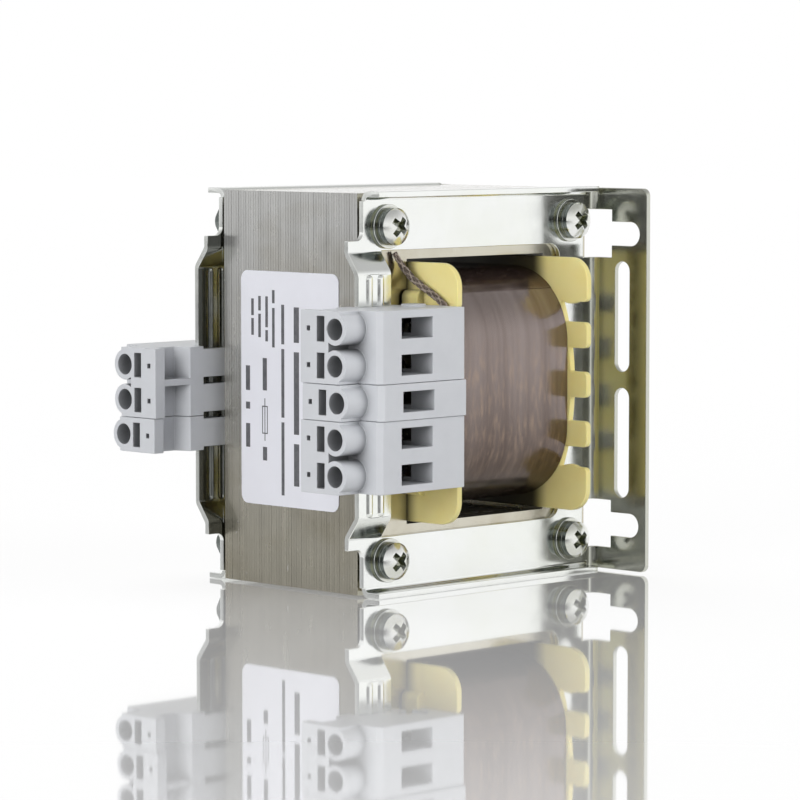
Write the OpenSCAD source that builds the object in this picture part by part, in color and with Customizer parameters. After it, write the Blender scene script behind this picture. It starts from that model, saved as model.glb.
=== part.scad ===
/* [Core] */
// Width of an outer leg, the unit of the scrapless E and I laminations
leg_w = 14; // [12:0.5:18]
// Depth of the lamination stack between the brackets
stack_d = 42; // [30:1:56]
// Thickness of one pair of laminations, the pitch of the edge lines
lam_pitch = 1; // [0.7:0.1:2]
// Width of the line between two pairs
lam_line = 0.16; // [0.1:0.02:0.3]
// Depth of the line between two pairs
lam_depth = 0.12; // [0.05:0.01:0.3]
// Width of the gap that shows between the stack and a bracket
end_gap = 0.5; // [0.2:0.1:1]
// Depth of the gap that shows between the stack and a bracket
end_gap_depth = 0.9; // [0.4:0.1:1.5]

/* [Clamping brackets] */
// Thickness of the folded sheet
sheet_t = 1.2; // [1:0.1:1.6]
// Outward reach of the top and bottom lips
lip_reach = 5.3; // [4:0.1:8]
// How far the lips stand above and below the core
lip_over = 0.4; // [0.2:0.1:1]
// Inner bend radius of the lips
lip_bend_r = 0.8; // [0.5:0.1:1.5]
// Distance from the core's entry face to the start of the lips
lip_start = 0.6; // [0.2:0.1:2]
// Gap between the end of the lips and the foot's bend
lip_relief = 0.8; // [0.4:0.1:2]
// Strip of the outer leg left bare above and below the window
leg_reveal = 2; // [1:0.1:3]
// Width of the stile between the window and the far end of the core
stile_w = 10; // [8:0.5:12]
// Corner radius of the window
window_r = 3; // [1.5:0.1:4]

/* [Terminal rail] */
// Width of the rail
rail_w = 9.6; // [8:0.1:11]
// How far the rail overhangs the core's entry face
rail_over = 4.3; // [3:0.1:5]
// Height of the rail above the bracket's face
rail_rise = 3; // [2.5:0.1:4]
// Length of the slope between the face and the rail
slope_l = 4.1; // [3:0.1:5]
// Height of the flat ear beyond the window's edge
ear_h = 2.2; // [1.5:0.1:3]
// Drop from the window's edge to the fold of the slope
slope_drop = 0.6; // [0.3:0.1:1]
// Inner bend radius of the slope
slope_bend_r = 1; // [0.6:0.1:1.6]
// Height of the stiffening beads
bead_h = 0.6; // [0.3:0.1:0.8]
// Radius of the stiffening beads
bead_r = 1; // [0.9:0.1:1.2]
// Distance between the two beads
bead_gap = 3.3; // [2.6:0.1:4]

/* [Mounting feet] */
// Outward reach of a foot
foot_reach = 16.7; // [15:0.1:20]
// Gap between the core's end and the foot
foot_gap = 1.1; // [0.5:0.1:2]
// Inner bend radius of the foot
foot_bend_r = 1.9; // [1.2:0.1:2.2]
// Corner radius of the foot
foot_corner_r = 1.6; // [0.5:0.1:3]
// Distance from the foot's end to the middle of a keyhole
key_edge = 10; // [8:0.5:12]
// Width of the keyhole's wide part
key_wide = 10.5; // [9:0.5:12]
// How far the wide part reaches onto the bracket's face
key_face = 2.35; // [2:0.05:3]
// Outward reach of the wide part
key_throat = 6.5; // [5.5:0.1:7.5]
// Width of the keyhole's narrow part
key_slot_w = 5.2; // [4.2:0.1:6]
// Distance from the narrow part's end to the foot's edge
key_margin = 2.1; // [1.5:0.1:3]
// Width of the long slots
slot_w = 4.2; // [3.2:0.1:5]
// Bridge between the two long slots
slot_bridge = 3.6; // [2.5:0.1:6]
// Bridge between a long slot and its keyhole
key_bridge = 0.8; // [0.5:0.1:2]
// Distance from the middle of the long slots to the foot's edge
slot_margin = 7.1; // [6:0.1:8]

/* [Clamp screws] */
// Thread diameter
screw_d = 4; // [3:0.5:5]
// Clearance of the holes in the core and the brackets
hole_clear = 0.5; // [0.2:0.1:1]
// Clearance of the washers and nuts on the thread
thread_clear = 0.2; // [0.1:0.05:0.4]
// Diameter of the head
head_d = 7.8; // [7:0.1:9]
// Height of the head
head_h = 2.5; // [2.2:0.1:3.5]
// Height of the dome on the head
dome_h = 1.3; // [0.8:0.1:1.6]
// Length of the cross recess
cross_l = 4.2; // [3:0.1:5]
// Width of the cross recess
cross_w = 1; // [0.8:0.1:1.3]
// Depth of the cross recess
cross_depth = 1.5; // [1:0.1:2]
// Diameter of the flat washers
washer_d = 9.3; // [8:0.1:9.8]
// Thickness of the flat washers
washer_t = 0.8; // [0.5:0.1:1.2]
// Diameter of the spring washers
spring_d = 7.8; // [7:0.1:8.6]
// Thickness of the spring washers
spring_t = 0.9; // [0.8:0.1:1.4]
// Width of the split in the spring washers
spring_split = 0.8; // [0.5:0.1:1.2]
// Width of the nuts across flats
nut_w = 7; // [6:0.5:8]
// Height of the nuts
nut_h = 3.2; // [2.4:0.1:4]
// Length of thread past the nuts
thread_tail = 1.6; // [0.5:0.1:4]

/* [Bobbin] */
// Wall of the bobbin's tube
tube_t = 1.2; // [0.8:0.1:1.6]
// Clearance between the bobbin and the core
bobbin_clear = 0.3; // [0.2:0.05:0.5]
// Clearance between the flanges and the outer legs
flange_clear = 0.6; // [0.3:0.1:1]
// Thickness of a flange
flange_t = 1.5; // [1:0.1:2]
// Outward reach of the flange's teeth
flange_reach = 14.6; // [13:0.1:16]
// Radius of the flange's corners
flange_r = 5; // [3:0.1:6]
// Outward reach of the notch floors at the middle
notch_floor = 10; // [9.6:0.1:11]
// Radius of the arc that the notch floors follow
notch_arc_r = 52; // [45:1:70]
// Width of the three small teeth
tooth_w = 5.6; // [4.5:0.1:6.5]
// Distance between the small teeth
tooth_pitch = 10.7; // [9.5:0.1:11]
// Depth of the big corner teeth, measured from the flange's end
corner_tooth = 9.5; // [8:0.1:10]
// Edge radius of the teeth
tooth_r = 1.2; // [0.5:0.1:1.8]
// Thickness of the ledges on the flange that faces the terminals
ledge_t = 2.2; // [1.5:0.1:2.3]
// Outward reach of the ledges over the core's faces
ledge_reach = 5; // [3:0.1:5.2]
// Distance from the flange's ends to the ends of the ledges
ledge_gap = 5.8; // [5.4:0.1:9]
// Corner radius of the ledges
ledge_r = 1.6; // [0.5:0.1:1.8]

/* [Coil] */
// Outward reach of the finished coil
coil_reach = 9.2; // [7:0.1:9.4]
// Build of the finished coil inside the core's windows
coil_build = 9.8; // [7:0.1:11]
// Radius of the finished coil's corners
coil_r = 16; // [10:0.1:16.5]
// Thickness of the tape wrap
wrap_t = 0.5; // [0.3:0.1:1]
// Thickness of the insulation between the windings
barrier_t = 0.6; // [0.4:0.1:1]
// Build of the primary winding
primary_build = 3.4; // [2.5:0.1:4]
// Clearance between the coil's layers and the bobbin
layer_clear = 0.1; // [0.05:0.05:0.2]

/* [Terminals] */
// Distance between two poles
pole_pitch = 7.5; // [7:0.1:9]
// Seam between two modules
module_seam = 0.1; // [0.05:0.05:0.2]
// Clearance of the modules on the rail
rail_fit = 0.1; // [0.05:0.05:0.2]
// Height of the secondary block's middle below the core's middle
secondary_drop = 2.75; // [0:0.25:4]
// How far a single module stands proud of the double ones
single_proud = 0.5; // [0:0.1:0.8]
// Reach of the wire entry face past the rail's edge
entry_reach = 13.8; // [12.5:0.1:16]
// Depth of the body outward of the rail
body_d = 13.6; // [13:0.1:15]
// Gap between the blocks and the bobbin for the leads
lead_gap = 1.9; // [1.7:0.1:2.5]
// Chamfer between the step and the outer face
step_chamfer = 1.1; // [0.5:0.1:1.5]
// Length of the round wire entries above the step
entry_l = 5.8; // [4:0.1:6.2]
// Outer diameter of the wire entries
entry_d = 6.6; // [5.8:0.1:6.9]
// Depth of the groove between two wire entries, below their axis
groove_d = 1.9; // [1:0.1:2.4]
// Rise of the shoulders beside the wire entries, above their axis
shoulder_h = 1.2; // [0.5:0.1:2]
// Bore of the wire entries
entry_bore = 4.4; // [3.6:0.1:4.8]
// Distance from the seat on the rail to the axis of the wire entries
entry_axis = 6.5; // [6:0.1:7]
// Thickness of the tool slots
tool_t = 2.2; // [1.6:0.1:2.4]
// Width of the tool slots
tool_w = 5.2; // [4:0.1:5.6]
// Distance from the wire entries' axis to the middle of the tool slots
tool_offset = 4.15; // [3.9:0.05:4.3]
// Side of the square test holes
test_w = 1; // [0.6:0.1:1.4]
// Distance from the wire entries' axis to the test holes
test_offset = 7.75; // [7.4:0.05:8]
// Length of the windows in the outer face
access_l = 9; // [7:0.1:10]
// Height of the windows in the outer face
access_h = 4.2; // [3:0.1:5]
// Distance from the rail's middle to the middle of the windows, towards the wire entries
access_shift = 1.9; // [1:0.1:2.5]
// Depth of the windows in the outer face
access_depth = 6.4; // [5.5:0.1:6.8]
// Thickness of the wall between the rail and the spring chamber
seat_t = 1; // [0.8:0.1:1.4]
// Thickness of the wall between two chambers
pole_wall = 1.9; // [1.4:0.1:2.4]
// Thickness of the jaws behind the rail
jaw_t = 1.5; // [1:0.1:1.8]
// Length of the jaws behind the rail
jaw_l = 7.3; // [6:0.1:8]
// Length of the solid root of the jaws beside the rail
jaw_root = 3.8; // [3:0.1:4.5]
// Width of the notches between the jaws
jaw_notch = 1.5; // [1:0.1:2]
// Length of the hook's lip behind the rail's far edge
hook_lip = 0.8; // [0.4:0.1:1.2]
// Thickness of the hook
hook_t = 2.1; // [1.5:0.1:2.5]
// Thickness of the plate at the wire entry face
entry_plate = 2.7; // [2:0.1:3.5]
// Width of the ribs in the recess behind the entry plate
recess_rib = 1.4; // [1:0.1:2]
// Diameter of the locating pads between modules
pad_d = 5.2; // [4:0.1:5.4]
// Height of the locating pads
pad_h = 0.5; // [0.3:0.1:0.7]

/* [Contacts] */
// Thickness of a contact bar
bar_t = 0.8; // [0.5:0.1:0.9]
// Width of a contact bar
bar_w = 3; // [2.4:0.1:3.4]
// Thickness of a clamping spring
clip_t = 0.4; // [0.3:0.05:0.5]
// Width of a clamping spring
clip_w = 4; // [3:0.1:4.6]
// Clearance around the contacts and springs
contact_fit = 0.1; // [0.05:0.05:0.2]
// Diameter of the leads
lead_d = 1.2; // [0.8:0.1:1.3]

/* [Label] */
// Width of the label
label_w = 30; // [20:1:36]
// Height of the label
label_h = 50; // [30:1:60]
// Thickness of the label
label_t = 0.15; // [0.1:0.05:0.3]
// Corner radius of the label
label_r = 2; // [0.5:0.1:4]

/* [Hidden] */

$fn = 48;
// Overlap of cutting shapes past the faces that they cut
cut = 1;

// Core: u runs along X from the entry face, v along Z from the core's middle
core_l = 5 * leg_w;
core_h = 6 * leg_w;
window_l = 3 * leg_w;
hole_d = screw_d + hole_clear;
hole_u = [leg_w / 2, core_l - leg_w / 2];
hole_v = core_h / 2 - leg_w / 2;
pair_count = floor(stack_d / lam_pitch);

// Brackets: p runs outward from the end of the stack
half_h = core_h / 2 + lip_over;
face_v = half_h - sheet_t - lip_bend_r;
window_v = core_h / 2 - leg_w + leg_reveal;
window_u = core_l - stile_w;
rail_in = rail_w - rail_over;
ear_v = window_v + ear_h;
ear_fillet_r = 0.8 * ear_h;
slope_v = window_v - slope_drop;
slope_angle = atan(rail_rise / slope_l);
bend_u = core_l + foot_gap - foot_bend_r;
lip_end = bend_u - lip_relief;
fold_lap = 2 * sheet_t;
foot_u = core_l + foot_gap;
foot_v = core_h / 2;
key_v = foot_v - key_edge;
key_end_p = foot_reach - key_margin - key_slot_w / 2;
slot_p = foot_reach - slot_margin;
slot_l = key_v - key_wide / 2 - key_bridge - slot_bridge / 2;
slot_v = slot_bridge / 2 + slot_l / 2;
bead_mid_p = rail_rise + bead_h - bead_r;
bead_v = slope_v - slope_l - bead_r;

// Clamp hardware, outward from the bracket's face
washer_p = sheet_t;
spring_p = washer_p + washer_t;
head_p = spring_p + spring_t;
nut_p = head_p;
screw_l = stack_d + 2 * head_p + nut_h + thread_tail;
dome_r = (head_d * head_d / 4 + dome_h * dome_h) / (2 * dome_h);

// Bobbin and coil
flange_v = core_h / 2 - leg_w - flange_clear;
tube_y = stack_d / 2 + bobbin_clear + tube_t;
tube_z = leg_w + bobbin_clear + tube_t;
flange_u = leg_w + bobbin_clear;
coil_u = flange_u + flange_t + layer_clear;
coil_l = window_l - 2 * (bobbin_clear + flange_t + layer_clear);
coil_y = stack_d / 2 + coil_reach;
coil_z = tube_z + coil_build;
coil_depth = coil_y - tube_y;
// Outer offset of each layer, from the finished surface inward
secondary_in = wrap_t + layer_clear;
primary_in = coil_depth - primary_build - layer_clear;
barrier_in = primary_in - barrier_t - layer_clear;

// Terminals
seat_p = rail_rise + sheet_t + bead_h + rail_fit;
jaw_p = rail_rise - rail_fit - jaw_t;
entry_u = -rail_over - entry_reach;
entry_p = seat_p + entry_axis;
step_u = entry_u + entry_l;
outer_p = seat_p + body_d;
end_u = flange_u - lead_gap;
plate_u = entry_u + entry_plate;
jaw_u = -rail_over - rail_fit;
hook_u = rail_in + rail_fit;
hook_out = hook_u + hook_t;
recess_u = jaw_u - jaw_root;
tail_p = seat_p + hook_t;
chamber_u = recess_u - seat_t;
chamber_end_u = hook_u - hook_t / 2;
chamber_p = seat_p + seat_t;
access_p = outer_p - access_depth;
access_u = (rail_in - rail_over - access_l) / 2 - access_shift;
chamber_w = pole_pitch - pole_wall;
pad_u = hook_u + hook_t / 2;
pad_p = tail_p + pad_d / 2 - contact_fit;
pad_play = single_proud + contact_fit;
clip_p = chamber_p + contact_fit;
bar_p = entry_p - entry_bore / 2 - bar_t - contact_fit;
clip_end_u = chamber_end_u - (bar_p - clip_p) / 2 - contact_fit;
single = 1;
double = 2;
primary_poles = double + single + double;
secondary_poles = single + double;

// The origin is under the middle of the whole part
core_x = -(entry_u + foot_u + sheet_t) / 2;
core_z = half_h;

// Leads: they rise from the coil, pass a notch of the flange and turn into a pole
lead_r = lead_d / 2;
lead_lift = 0.2;
lead_steps = 2;
lead_u = flange_u - lead_gap / 2;
lead_p = bar_p + bar_t + 1.5 * lead_r;
lead_in = 1.6;
notch_p = notch_floor + lead_r + lead_lift;
notch_near = tooth_w / 2 + lead_r + 2 * lead_lift;
notch_far = tooth_pitch - notch_near;
notch_outer = (tooth_pitch + tooth_w / 2 + flange_v - corner_tooth) / 2;
// Notch and pole of each lead, as heights from the core's middle
primary_ways = [
    [notch_far, pole_pitch],
    [notch_near, 0],
    [-notch_far, -pole_pitch],
    [-notch_outer, -2 * pole_pitch]
];
secondary_ways = [
    [tooth_pitch / 2, pole_pitch - secondary_drop],
    [-notch_near, -secondary_drop],
    [-notch_far, -pole_pitch - secondary_drop]
];
// The earth lead runs from the window's edge to the top pole
// Each point is its distance before the flange, its p and its share of the drop
earth_pole = 2 * pole_pitch;
earth_way = [
    [4.7, 0.8, 0.04], [3.3, 1.6, 0.22], [2.3, 3.6, 0.39], [1.5, 6.2, 0.52], [1.1, 9.3, 0.64],
    [1.05, 11.8, 0.76], [1.1, 12, 0.87], [1.2, 10.3, 0.98]
];

// Places in the part

module front_side() {
    translate([core_x, -stack_d / 2, core_z]) children();
}

module rear_side() {
    mirror([0, 1, 0]) front_side() children();
}

// A u, v outline raised outward from p
module outward(p, h) {
    translate([0, -p, 0]) rotate([90, 0, 0]) linear_extrude(h) children();
}

// A p, v outline drawn along u up to u_end
module along_u(u_end, l) {
    translate([u_end, 0, 0]) rotate([90, 0, -90]) linear_extrude(l) children();
}

// A u, p outline drawn along v from v_start
module along_v(v_start, h) {
    translate([0, 0, v_start]) mirror([0, 1, 0]) linear_extrude(h) children();
}

// A box between two corners given as u, p, v
module block(a, b) {
    translate([a[0], -b[1], a[2]]) cube([b[0] - a[0], b[1] - a[1], b[2] - a[2]]);
}

module at_screws() {
    for (u = hole_u, v = [-hole_v, hole_v]) translate([u, 0, v]) children();
}

// Plain outlines

module round_rect(w, h, r) {
    square([w - 2 * r, h], center = true);
    square([w, h - 2 * r], center = true);
    for (x = [r - w / 2, w / 2 - r], y = [r - h / 2, h / 2 - r]) translate([x, y]) circle(r);
}

// A block towards -x and +y from the origin, with that corner rounded
module corner_block(a, b, r) {
    translate([-a, r]) square([a, b - r]);
    translate([-a, 0]) square([a - r, b]);
    translate([-r, r]) circle(r);
}

// A bent sheet with its outer corner at the origin: one leg towards -x, the other towards +y
module bent_sheet(a, b, r) {
    difference() {
        corner_block(a, b, r + sheet_t);
        translate([-sheet_t, sheet_t]) corner_block(a, b, r);
    }
}

// Core

// One line around the edges of the stack, at y and w wide
module edge_line(u0, u1, depth, y, w) {
    translate([0, y, 0]) rotate([90, 0, 0]) linear_extrude(w, center = true)
        difference() {
            translate([u0 - cut, -core_h / 2 - cut]) square([u1 - u0 + 2 * cut, core_h + 2 * cut]);
            translate([u0 + depth, depth - core_h / 2]) square([u1 - u0 - 2 * depth, core_h - 2 * depth]);
        }
}

module edge_lines(u0, u1) {
    for (i = [1 : pair_count - 1]) edge_line(u0, u1, lam_depth, i * lam_pitch - stack_d / 2, lam_line);
    for (s = [-1, 1]) edge_line(u0, u1, end_gap_depth, s * (stack_d - end_gap) / 2, end_gap);
}

module stack_of(u0, u1) {
    translate([core_x, 0, core_z])
        difference() {
            rotate([90, 0, 0]) linear_extrude(stack_d, center = true)
                difference() {
                    children();
                    for (u = hole_u, v = [-hole_v, hole_v]) translate([u, v]) circle(d = hole_d);
                }
            edge_lines(u0, u1);
        }
}

module e_laminations() {
    joint_u = leg_w + window_l;
    color("#8d8a80")
        stack_of(0, joint_u + cut + end_gap_depth)
            difference() {
                translate([0, -core_h / 2]) square([joint_u, core_h]);
                for (s = [-1, 1])
                    translate([leg_w, s * 1.5 * leg_w - leg_w / 2]) square([window_l + cut, leg_w]);
            }
}

module i_laminations() {
    joint_u = leg_w + window_l;
    color("#8a877c")
        stack_of(joint_u - cut - end_gap_depth, core_l)
            translate([joint_u, -core_h / 2]) square([leg_w, core_h]);
}

// Brackets

function arc(c, r, a0, a1, steps = 5) =
    [for (i = [0 : steps]) c + r * [cos(a0 + (a1 - a0) * i / steps), sin(a0 + (a1 - a0) * i / steps)]];

// Upper half of the rail's edge, for the sheet's inner face at 0 or its outer face at sheet_t
function rail_edge(offset_p) =
    let (
        fold = tan(slope_angle / 2),
        outer_r = slope_bend_r + sheet_t,
        low = [outer_r, slope_v + outer_r * fold],
        high = [rail_rise - slope_bend_r, slope_v - slope_l - slope_bend_r * fold]
    )
    concat(
        [[offset_p, ear_v]],
        arc(low, outer_r - offset_p, 180, 180 + slope_angle),
        arc(high, slope_bend_r + offset_p, slope_angle, 0)
    );

function reversed(list) = [for (i = [len(list) - 1 : -1 : 0]) list[i]];

function flipped(list) = [for (q = list) [q[0], -q[1]]];

module rail_profile() {
    inner = rail_edge(0);
    outer = rail_edge(sheet_t);
    polygon(concat(inner, reversed(flipped(inner)), flipped(outer), reversed(outer)));
}

module rail_beads(p) {
    rail_mid = (rail_in - rail_over) / 2;
    for (s = [-1, 1]) translate([rail_mid + s * bead_gap / 2, -p, 0]) {
        cylinder(r = bead_r, h = 2 * bead_v, center = true);
        for (v = [-bead_v, bead_v]) translate([0, 0, v]) sphere(bead_r);
    }
}

module rail() {
    difference() {
        union() {
            along_u(rail_in, rail_w) rail_profile();
            intersection() {
                rail_beads(bead_mid_p + sheet_t);
                block([-rail_over, rail_rise, -window_v], [rail_in, rail_rise + 2 * sheet_t, window_v]);
            }
        }
        rail_beads(bead_mid_p);
    }
}

module bracket_face() {
    difference() {
        union() {
            translate([0, -face_v]) square([bend_u, 2 * face_v]);
            for (s = [0, 1]) mirror([0, s]) ear_fillet();
        }
        translate([-cut, -slope_v]) square([rail_in + cut, 2 * slope_v]);
        translate([(rail_in - window_r + window_u) / 2, 0])
            round_rect(window_u - rail_in + window_r, 2 * window_v, window_r);
        for (u = hole_u, v = [-hole_v, hole_v]) translate([u, v]) circle(d = hole_d);
    }
}

module ear_fillet() {
    translate([-ear_fillet_r, ear_v]) difference() {
        square(ear_fillet_r);
        translate([0, ear_fillet_r]) circle(ear_fillet_r);
    }
}

module lip_profile() {
    translate([0, half_h]) mirror([1, -1]) bent_sheet(sheet_t + lip_bend_r + fold_lap, lip_reach, lip_bend_r);
}

module fold_profile() {
    translate([foot_u + sheet_t, 0])
        bent_sheet(sheet_t + foot_bend_r + fold_lap, foot_reach, foot_bend_r);
}

// The fold and the foot, with the relief between the fold and the lips
module fold() {
    difference() {
        along_v(-foot_v, 2 * foot_v) fold_profile();
        for (s = [0, 1]) mirror([0, 0, s])
            block([bend_u - fold_lap - cut, -cut, face_v], [bend_u, sheet_t + cut, foot_v + cut]);
    }
}

// Slots, narrow parts of the keyholes and rounded corners, drawn in p and v
module foot_cuts() {
    corner_v = foot_v - foot_corner_r;
    for (s = [-1, 1]) {
        translate([key_throat - cut, s * key_v - key_slot_w / 2])
            square([key_end_p - key_throat + cut, key_slot_w]);
        translate([key_end_p, s * key_v]) circle(d = key_slot_w);
        translate([slot_p, s * slot_v]) square([slot_w, slot_l - slot_w], center = true);
        for (e = [-1, 1]) translate([slot_p, s * slot_v + e * (slot_l - slot_w) / 2]) circle(d = slot_w);
    }
    for (s = [0, 1]) mirror([0, s]) translate([foot_reach - foot_corner_r, corner_v]) difference() {
        square(foot_corner_r + cut);
        circle(foot_corner_r);
    }
}

module bracket() {
    color("#c9cdc6")
        difference() {
            union() {
                outward(0, sheet_t) bracket_face();
                rail();
                for (s = [0, 1]) mirror([0, 0, s]) along_u(lip_end, lip_end - lip_start) lip_profile();
                fold();
            }
            for (s = [-1, 1])
                block(
                    [core_l - key_face, -cut, s * key_v - key_wide / 2],
                    [foot_u + sheet_t + cut, key_throat, s * key_v + key_wide / 2]
                );
            along_u(foot_u + sheet_t + cut, sheet_t + 2 * cut) foot_cuts();
        }
}

module front_bracket() {
    front_side() bracket();
}

module rear_bracket() {
    rear_side() bracket();
}

// Clamp hardware

module ring(p, d, h, bore) {
    outward(p, h) difference() {
        circle(d = d);
        circle(d = bore);
    }
}

module clamp_screw() {
    translate([0, -head_p, 0]) rotate([90, 0, 0]) difference() {
        union() {
            intersection() {
                cylinder(d = head_d, h = head_h);
                translate([0, 0, head_h - dome_r]) sphere(dome_r, $fn = 96);
            }
            translate([0, 0, -screw_l]) cylinder(d = screw_d, h = screw_l + head_h / 4);
        }
        for (a = [45, 135]) rotate(a)
            translate([0, 0, head_h - cross_depth / 2 + cut / 2])
                cube([cross_l, cross_w, cross_depth + cut], center = true);
    }
}

module clamp_screws() {
    color("#b9beb8") front_side() at_screws() clamp_screw();
}

module flat_washers() {
    color("#aab0aa") at_screws() ring(washer_p, washer_d, washer_t, screw_d + thread_clear);
}

module spring_washers() {
    color("#9ba29c") at_screws() difference() {
        ring(spring_p, spring_d, spring_t, screw_d + thread_clear);
        block(
            [0, spring_p - cut, -spring_split / 2],
            [spring_d, spring_p + spring_t + cut, spring_split / 2]
        );
    }
}

module front_flat_washers() {
    front_side() flat_washers();
}

module front_spring_washers() {
    front_side() spring_washers();
}

module rear_flat_washers() {
    rear_side() flat_washers();
}

module rear_spring_washers() {
    rear_side() spring_washers();
}

module clamp_nuts() {
    color("#b4b9b2") rear_side() at_screws()
        outward(nut_p, nut_h) difference() {
            circle(d = nut_w / cos(30), $fn = 6);
            circle(d = screw_d + thread_clear);
        }
}

// Bobbin and coil: outlines are drawn in Y and Z

module coil_layer(inset, length) {
    r = coil_r - inset;
    translate([core_x + coil_u, 0, core_z]) rotate([90, 0, 90]) linear_extrude(length)
        round_rect(2 * (coil_y - inset), 2 * (coil_z - inset), r);
}

module tube_outline(grow) {
    square([2 * (tube_y + grow), 2 * (tube_z + grow)], center = true);
}

module corner_tooth_outline() {
    tip_y = stack_d / 2 + flange_reach;
    low_z = flange_v - corner_tooth;
    translate([0, low_z]) square([tip_y - flange_r, corner_tooth]);
    translate([0, low_z + tooth_r]) square([tip_y, corner_tooth - tooth_r - flange_r]);
    translate([0, low_z]) square([tip_y - tooth_r, tooth_r]);
    translate([tip_y - tooth_r, low_z + tooth_r]) circle(tooth_r);
    translate([tip_y - flange_r, flange_v - flange_r]) circle(flange_r);
}

module flange_outline() {
    arc_y = stack_d / 2 + notch_floor - notch_arc_r;
    tip_y = stack_d / 2 + flange_reach;
    difference() {
        union() {
            intersection() {
                square([2 * tip_y, 2 * flange_v], center = true);
                translate([arc_y, 0]) circle(notch_arc_r, $fn = 180);
                translate([-arc_y, 0]) circle(notch_arc_r, $fn = 180);
            }
            for (z = [-tooth_pitch, 0, tooth_pitch])
                translate([0, z]) round_rect(2 * tip_y, tooth_w, tooth_r);
            for (a = [0, 1], b = [0, 1]) mirror([a, 0]) mirror([0, b]) corner_tooth_outline();
        }
        tube_outline(-tube_t);
    }
}

module flange_ledge() {
    w = ledge_t + flange_t;
    outward(bobbin_clear, ledge_reach - bobbin_clear)
        translate([flange_u - ledge_t + w / 2, 0]) round_rect(w, 2 * (flange_v - ledge_gap), ledge_r);
}

module bobbin() {
    bobbin_l = window_l - 2 * bobbin_clear;
    color("#e6d9a0") translate([core_x + flange_u, 0, core_z]) rotate([90, 0, 90]) {
        for (x = [0, bobbin_l - flange_t]) translate([0, 0, x]) linear_extrude(flange_t) flange_outline();
        linear_extrude(bobbin_l) difference() {
            tube_outline(0);
            tube_outline(-tube_t);
        }
    }
    color("#e6d9a0") {
        front_side() flange_ledge();
        rear_side() flange_ledge();
    }
}

module tube_core() {
    translate([core_x + coil_u - cut, 0, core_z]) rotate([90, 0, 90])
        linear_extrude(coil_l + 2 * cut) tube_outline(layer_clear);
}

module primary_winding() {
    color("#b06a3c") difference() {
        coil_layer(primary_in + layer_clear, coil_l);
        tube_core();
    }
}

module winding_insulation() {
    color("#d9c9a8") difference() {
        coil_layer(barrier_in + layer_clear, coil_l);
        translate([-cut, 0, 0]) coil_layer(primary_in, coil_l + 2 * cut);
    }
}

module secondary_winding() {
    color("#b8743f") difference() {
        coil_layer(secondary_in, coil_l);
        translate([-cut, 0, 0]) coil_layer(barrier_in, coil_l + 2 * cut);
    }
}

module coil_wrap() {
    color("#6d564c") difference() {
        coil_layer(0, coil_l);
        translate([-cut, 0, 0]) coil_layer(wrap_t, coil_l + 2 * cut);
    }
}

// Terminals

module terminal_profile(proud) {
    polygon([
        [entry_u, jaw_p + proud],
        [entry_u, entry_p + proud],
        [step_u, entry_p + proud],
        [step_u, outer_p - step_chamfer + proud],
        [step_u + step_chamfer, outer_p + proud],
        [end_u, outer_p + proud],
        [end_u, tail_p],
        [hook_out, tail_p],
        [hook_out, jaw_p + jaw_t / 2],
        [hook_u - hook_lip, jaw_p + jaw_t / 2],
        [hook_u - hook_lip, jaw_p + jaw_t],
        [hook_u, jaw_p + jaw_t],
        [hook_u, seat_p],
        [jaw_u, seat_p],
        [jaw_u, jaw_p + jaw_t],
        [jaw_u + jaw_l, jaw_p + jaw_t],
        [jaw_u + jaw_l, jaw_p],
        [recess_u, jaw_p],
        [recess_u - jaw_t, seat_p],
        [plate_u, seat_p],
        [plate_u, jaw_p + proud]
    ]);
}

// Cavities of one pole, around the pole's middle height
module pole_cavities(proud) {
    axis_p = entry_p + proud;
    translate([entry_u - cut, -axis_p, 0]) rotate([0, 90, 0])
        cylinder(d = entry_bore, h = access_u - entry_u + cut);
    block(
        [entry_u - cut, axis_p - tool_offset - tool_t / 2, -tool_w / 2],
        [chamber_u + cut, axis_p - tool_offset + tool_t / 2, tool_w / 2]
    );
    block(
        [entry_u - cut, axis_p - test_offset - test_w / 2, -test_w / 2],
        [plate_u + cut, axis_p - test_offset + test_w / 2, test_w / 2]
    );
    block([chamber_u, chamber_p, -chamber_w / 2], [chamber_end_u, access_p, chamber_w / 2]);
    block(
        [access_u, access_p - cut, -access_h / 2],
        [access_u + access_l, outer_p + proud + cut, access_h / 2]
    );
    block(
        [chamber_end_u - cut, bar_p - contact_fit, -bar_w / 2 - contact_fit],
        [end_u + cut, bar_p + bar_t + 1.5 * lead_d, bar_w / 2 + contact_fit]
    );
}

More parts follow.
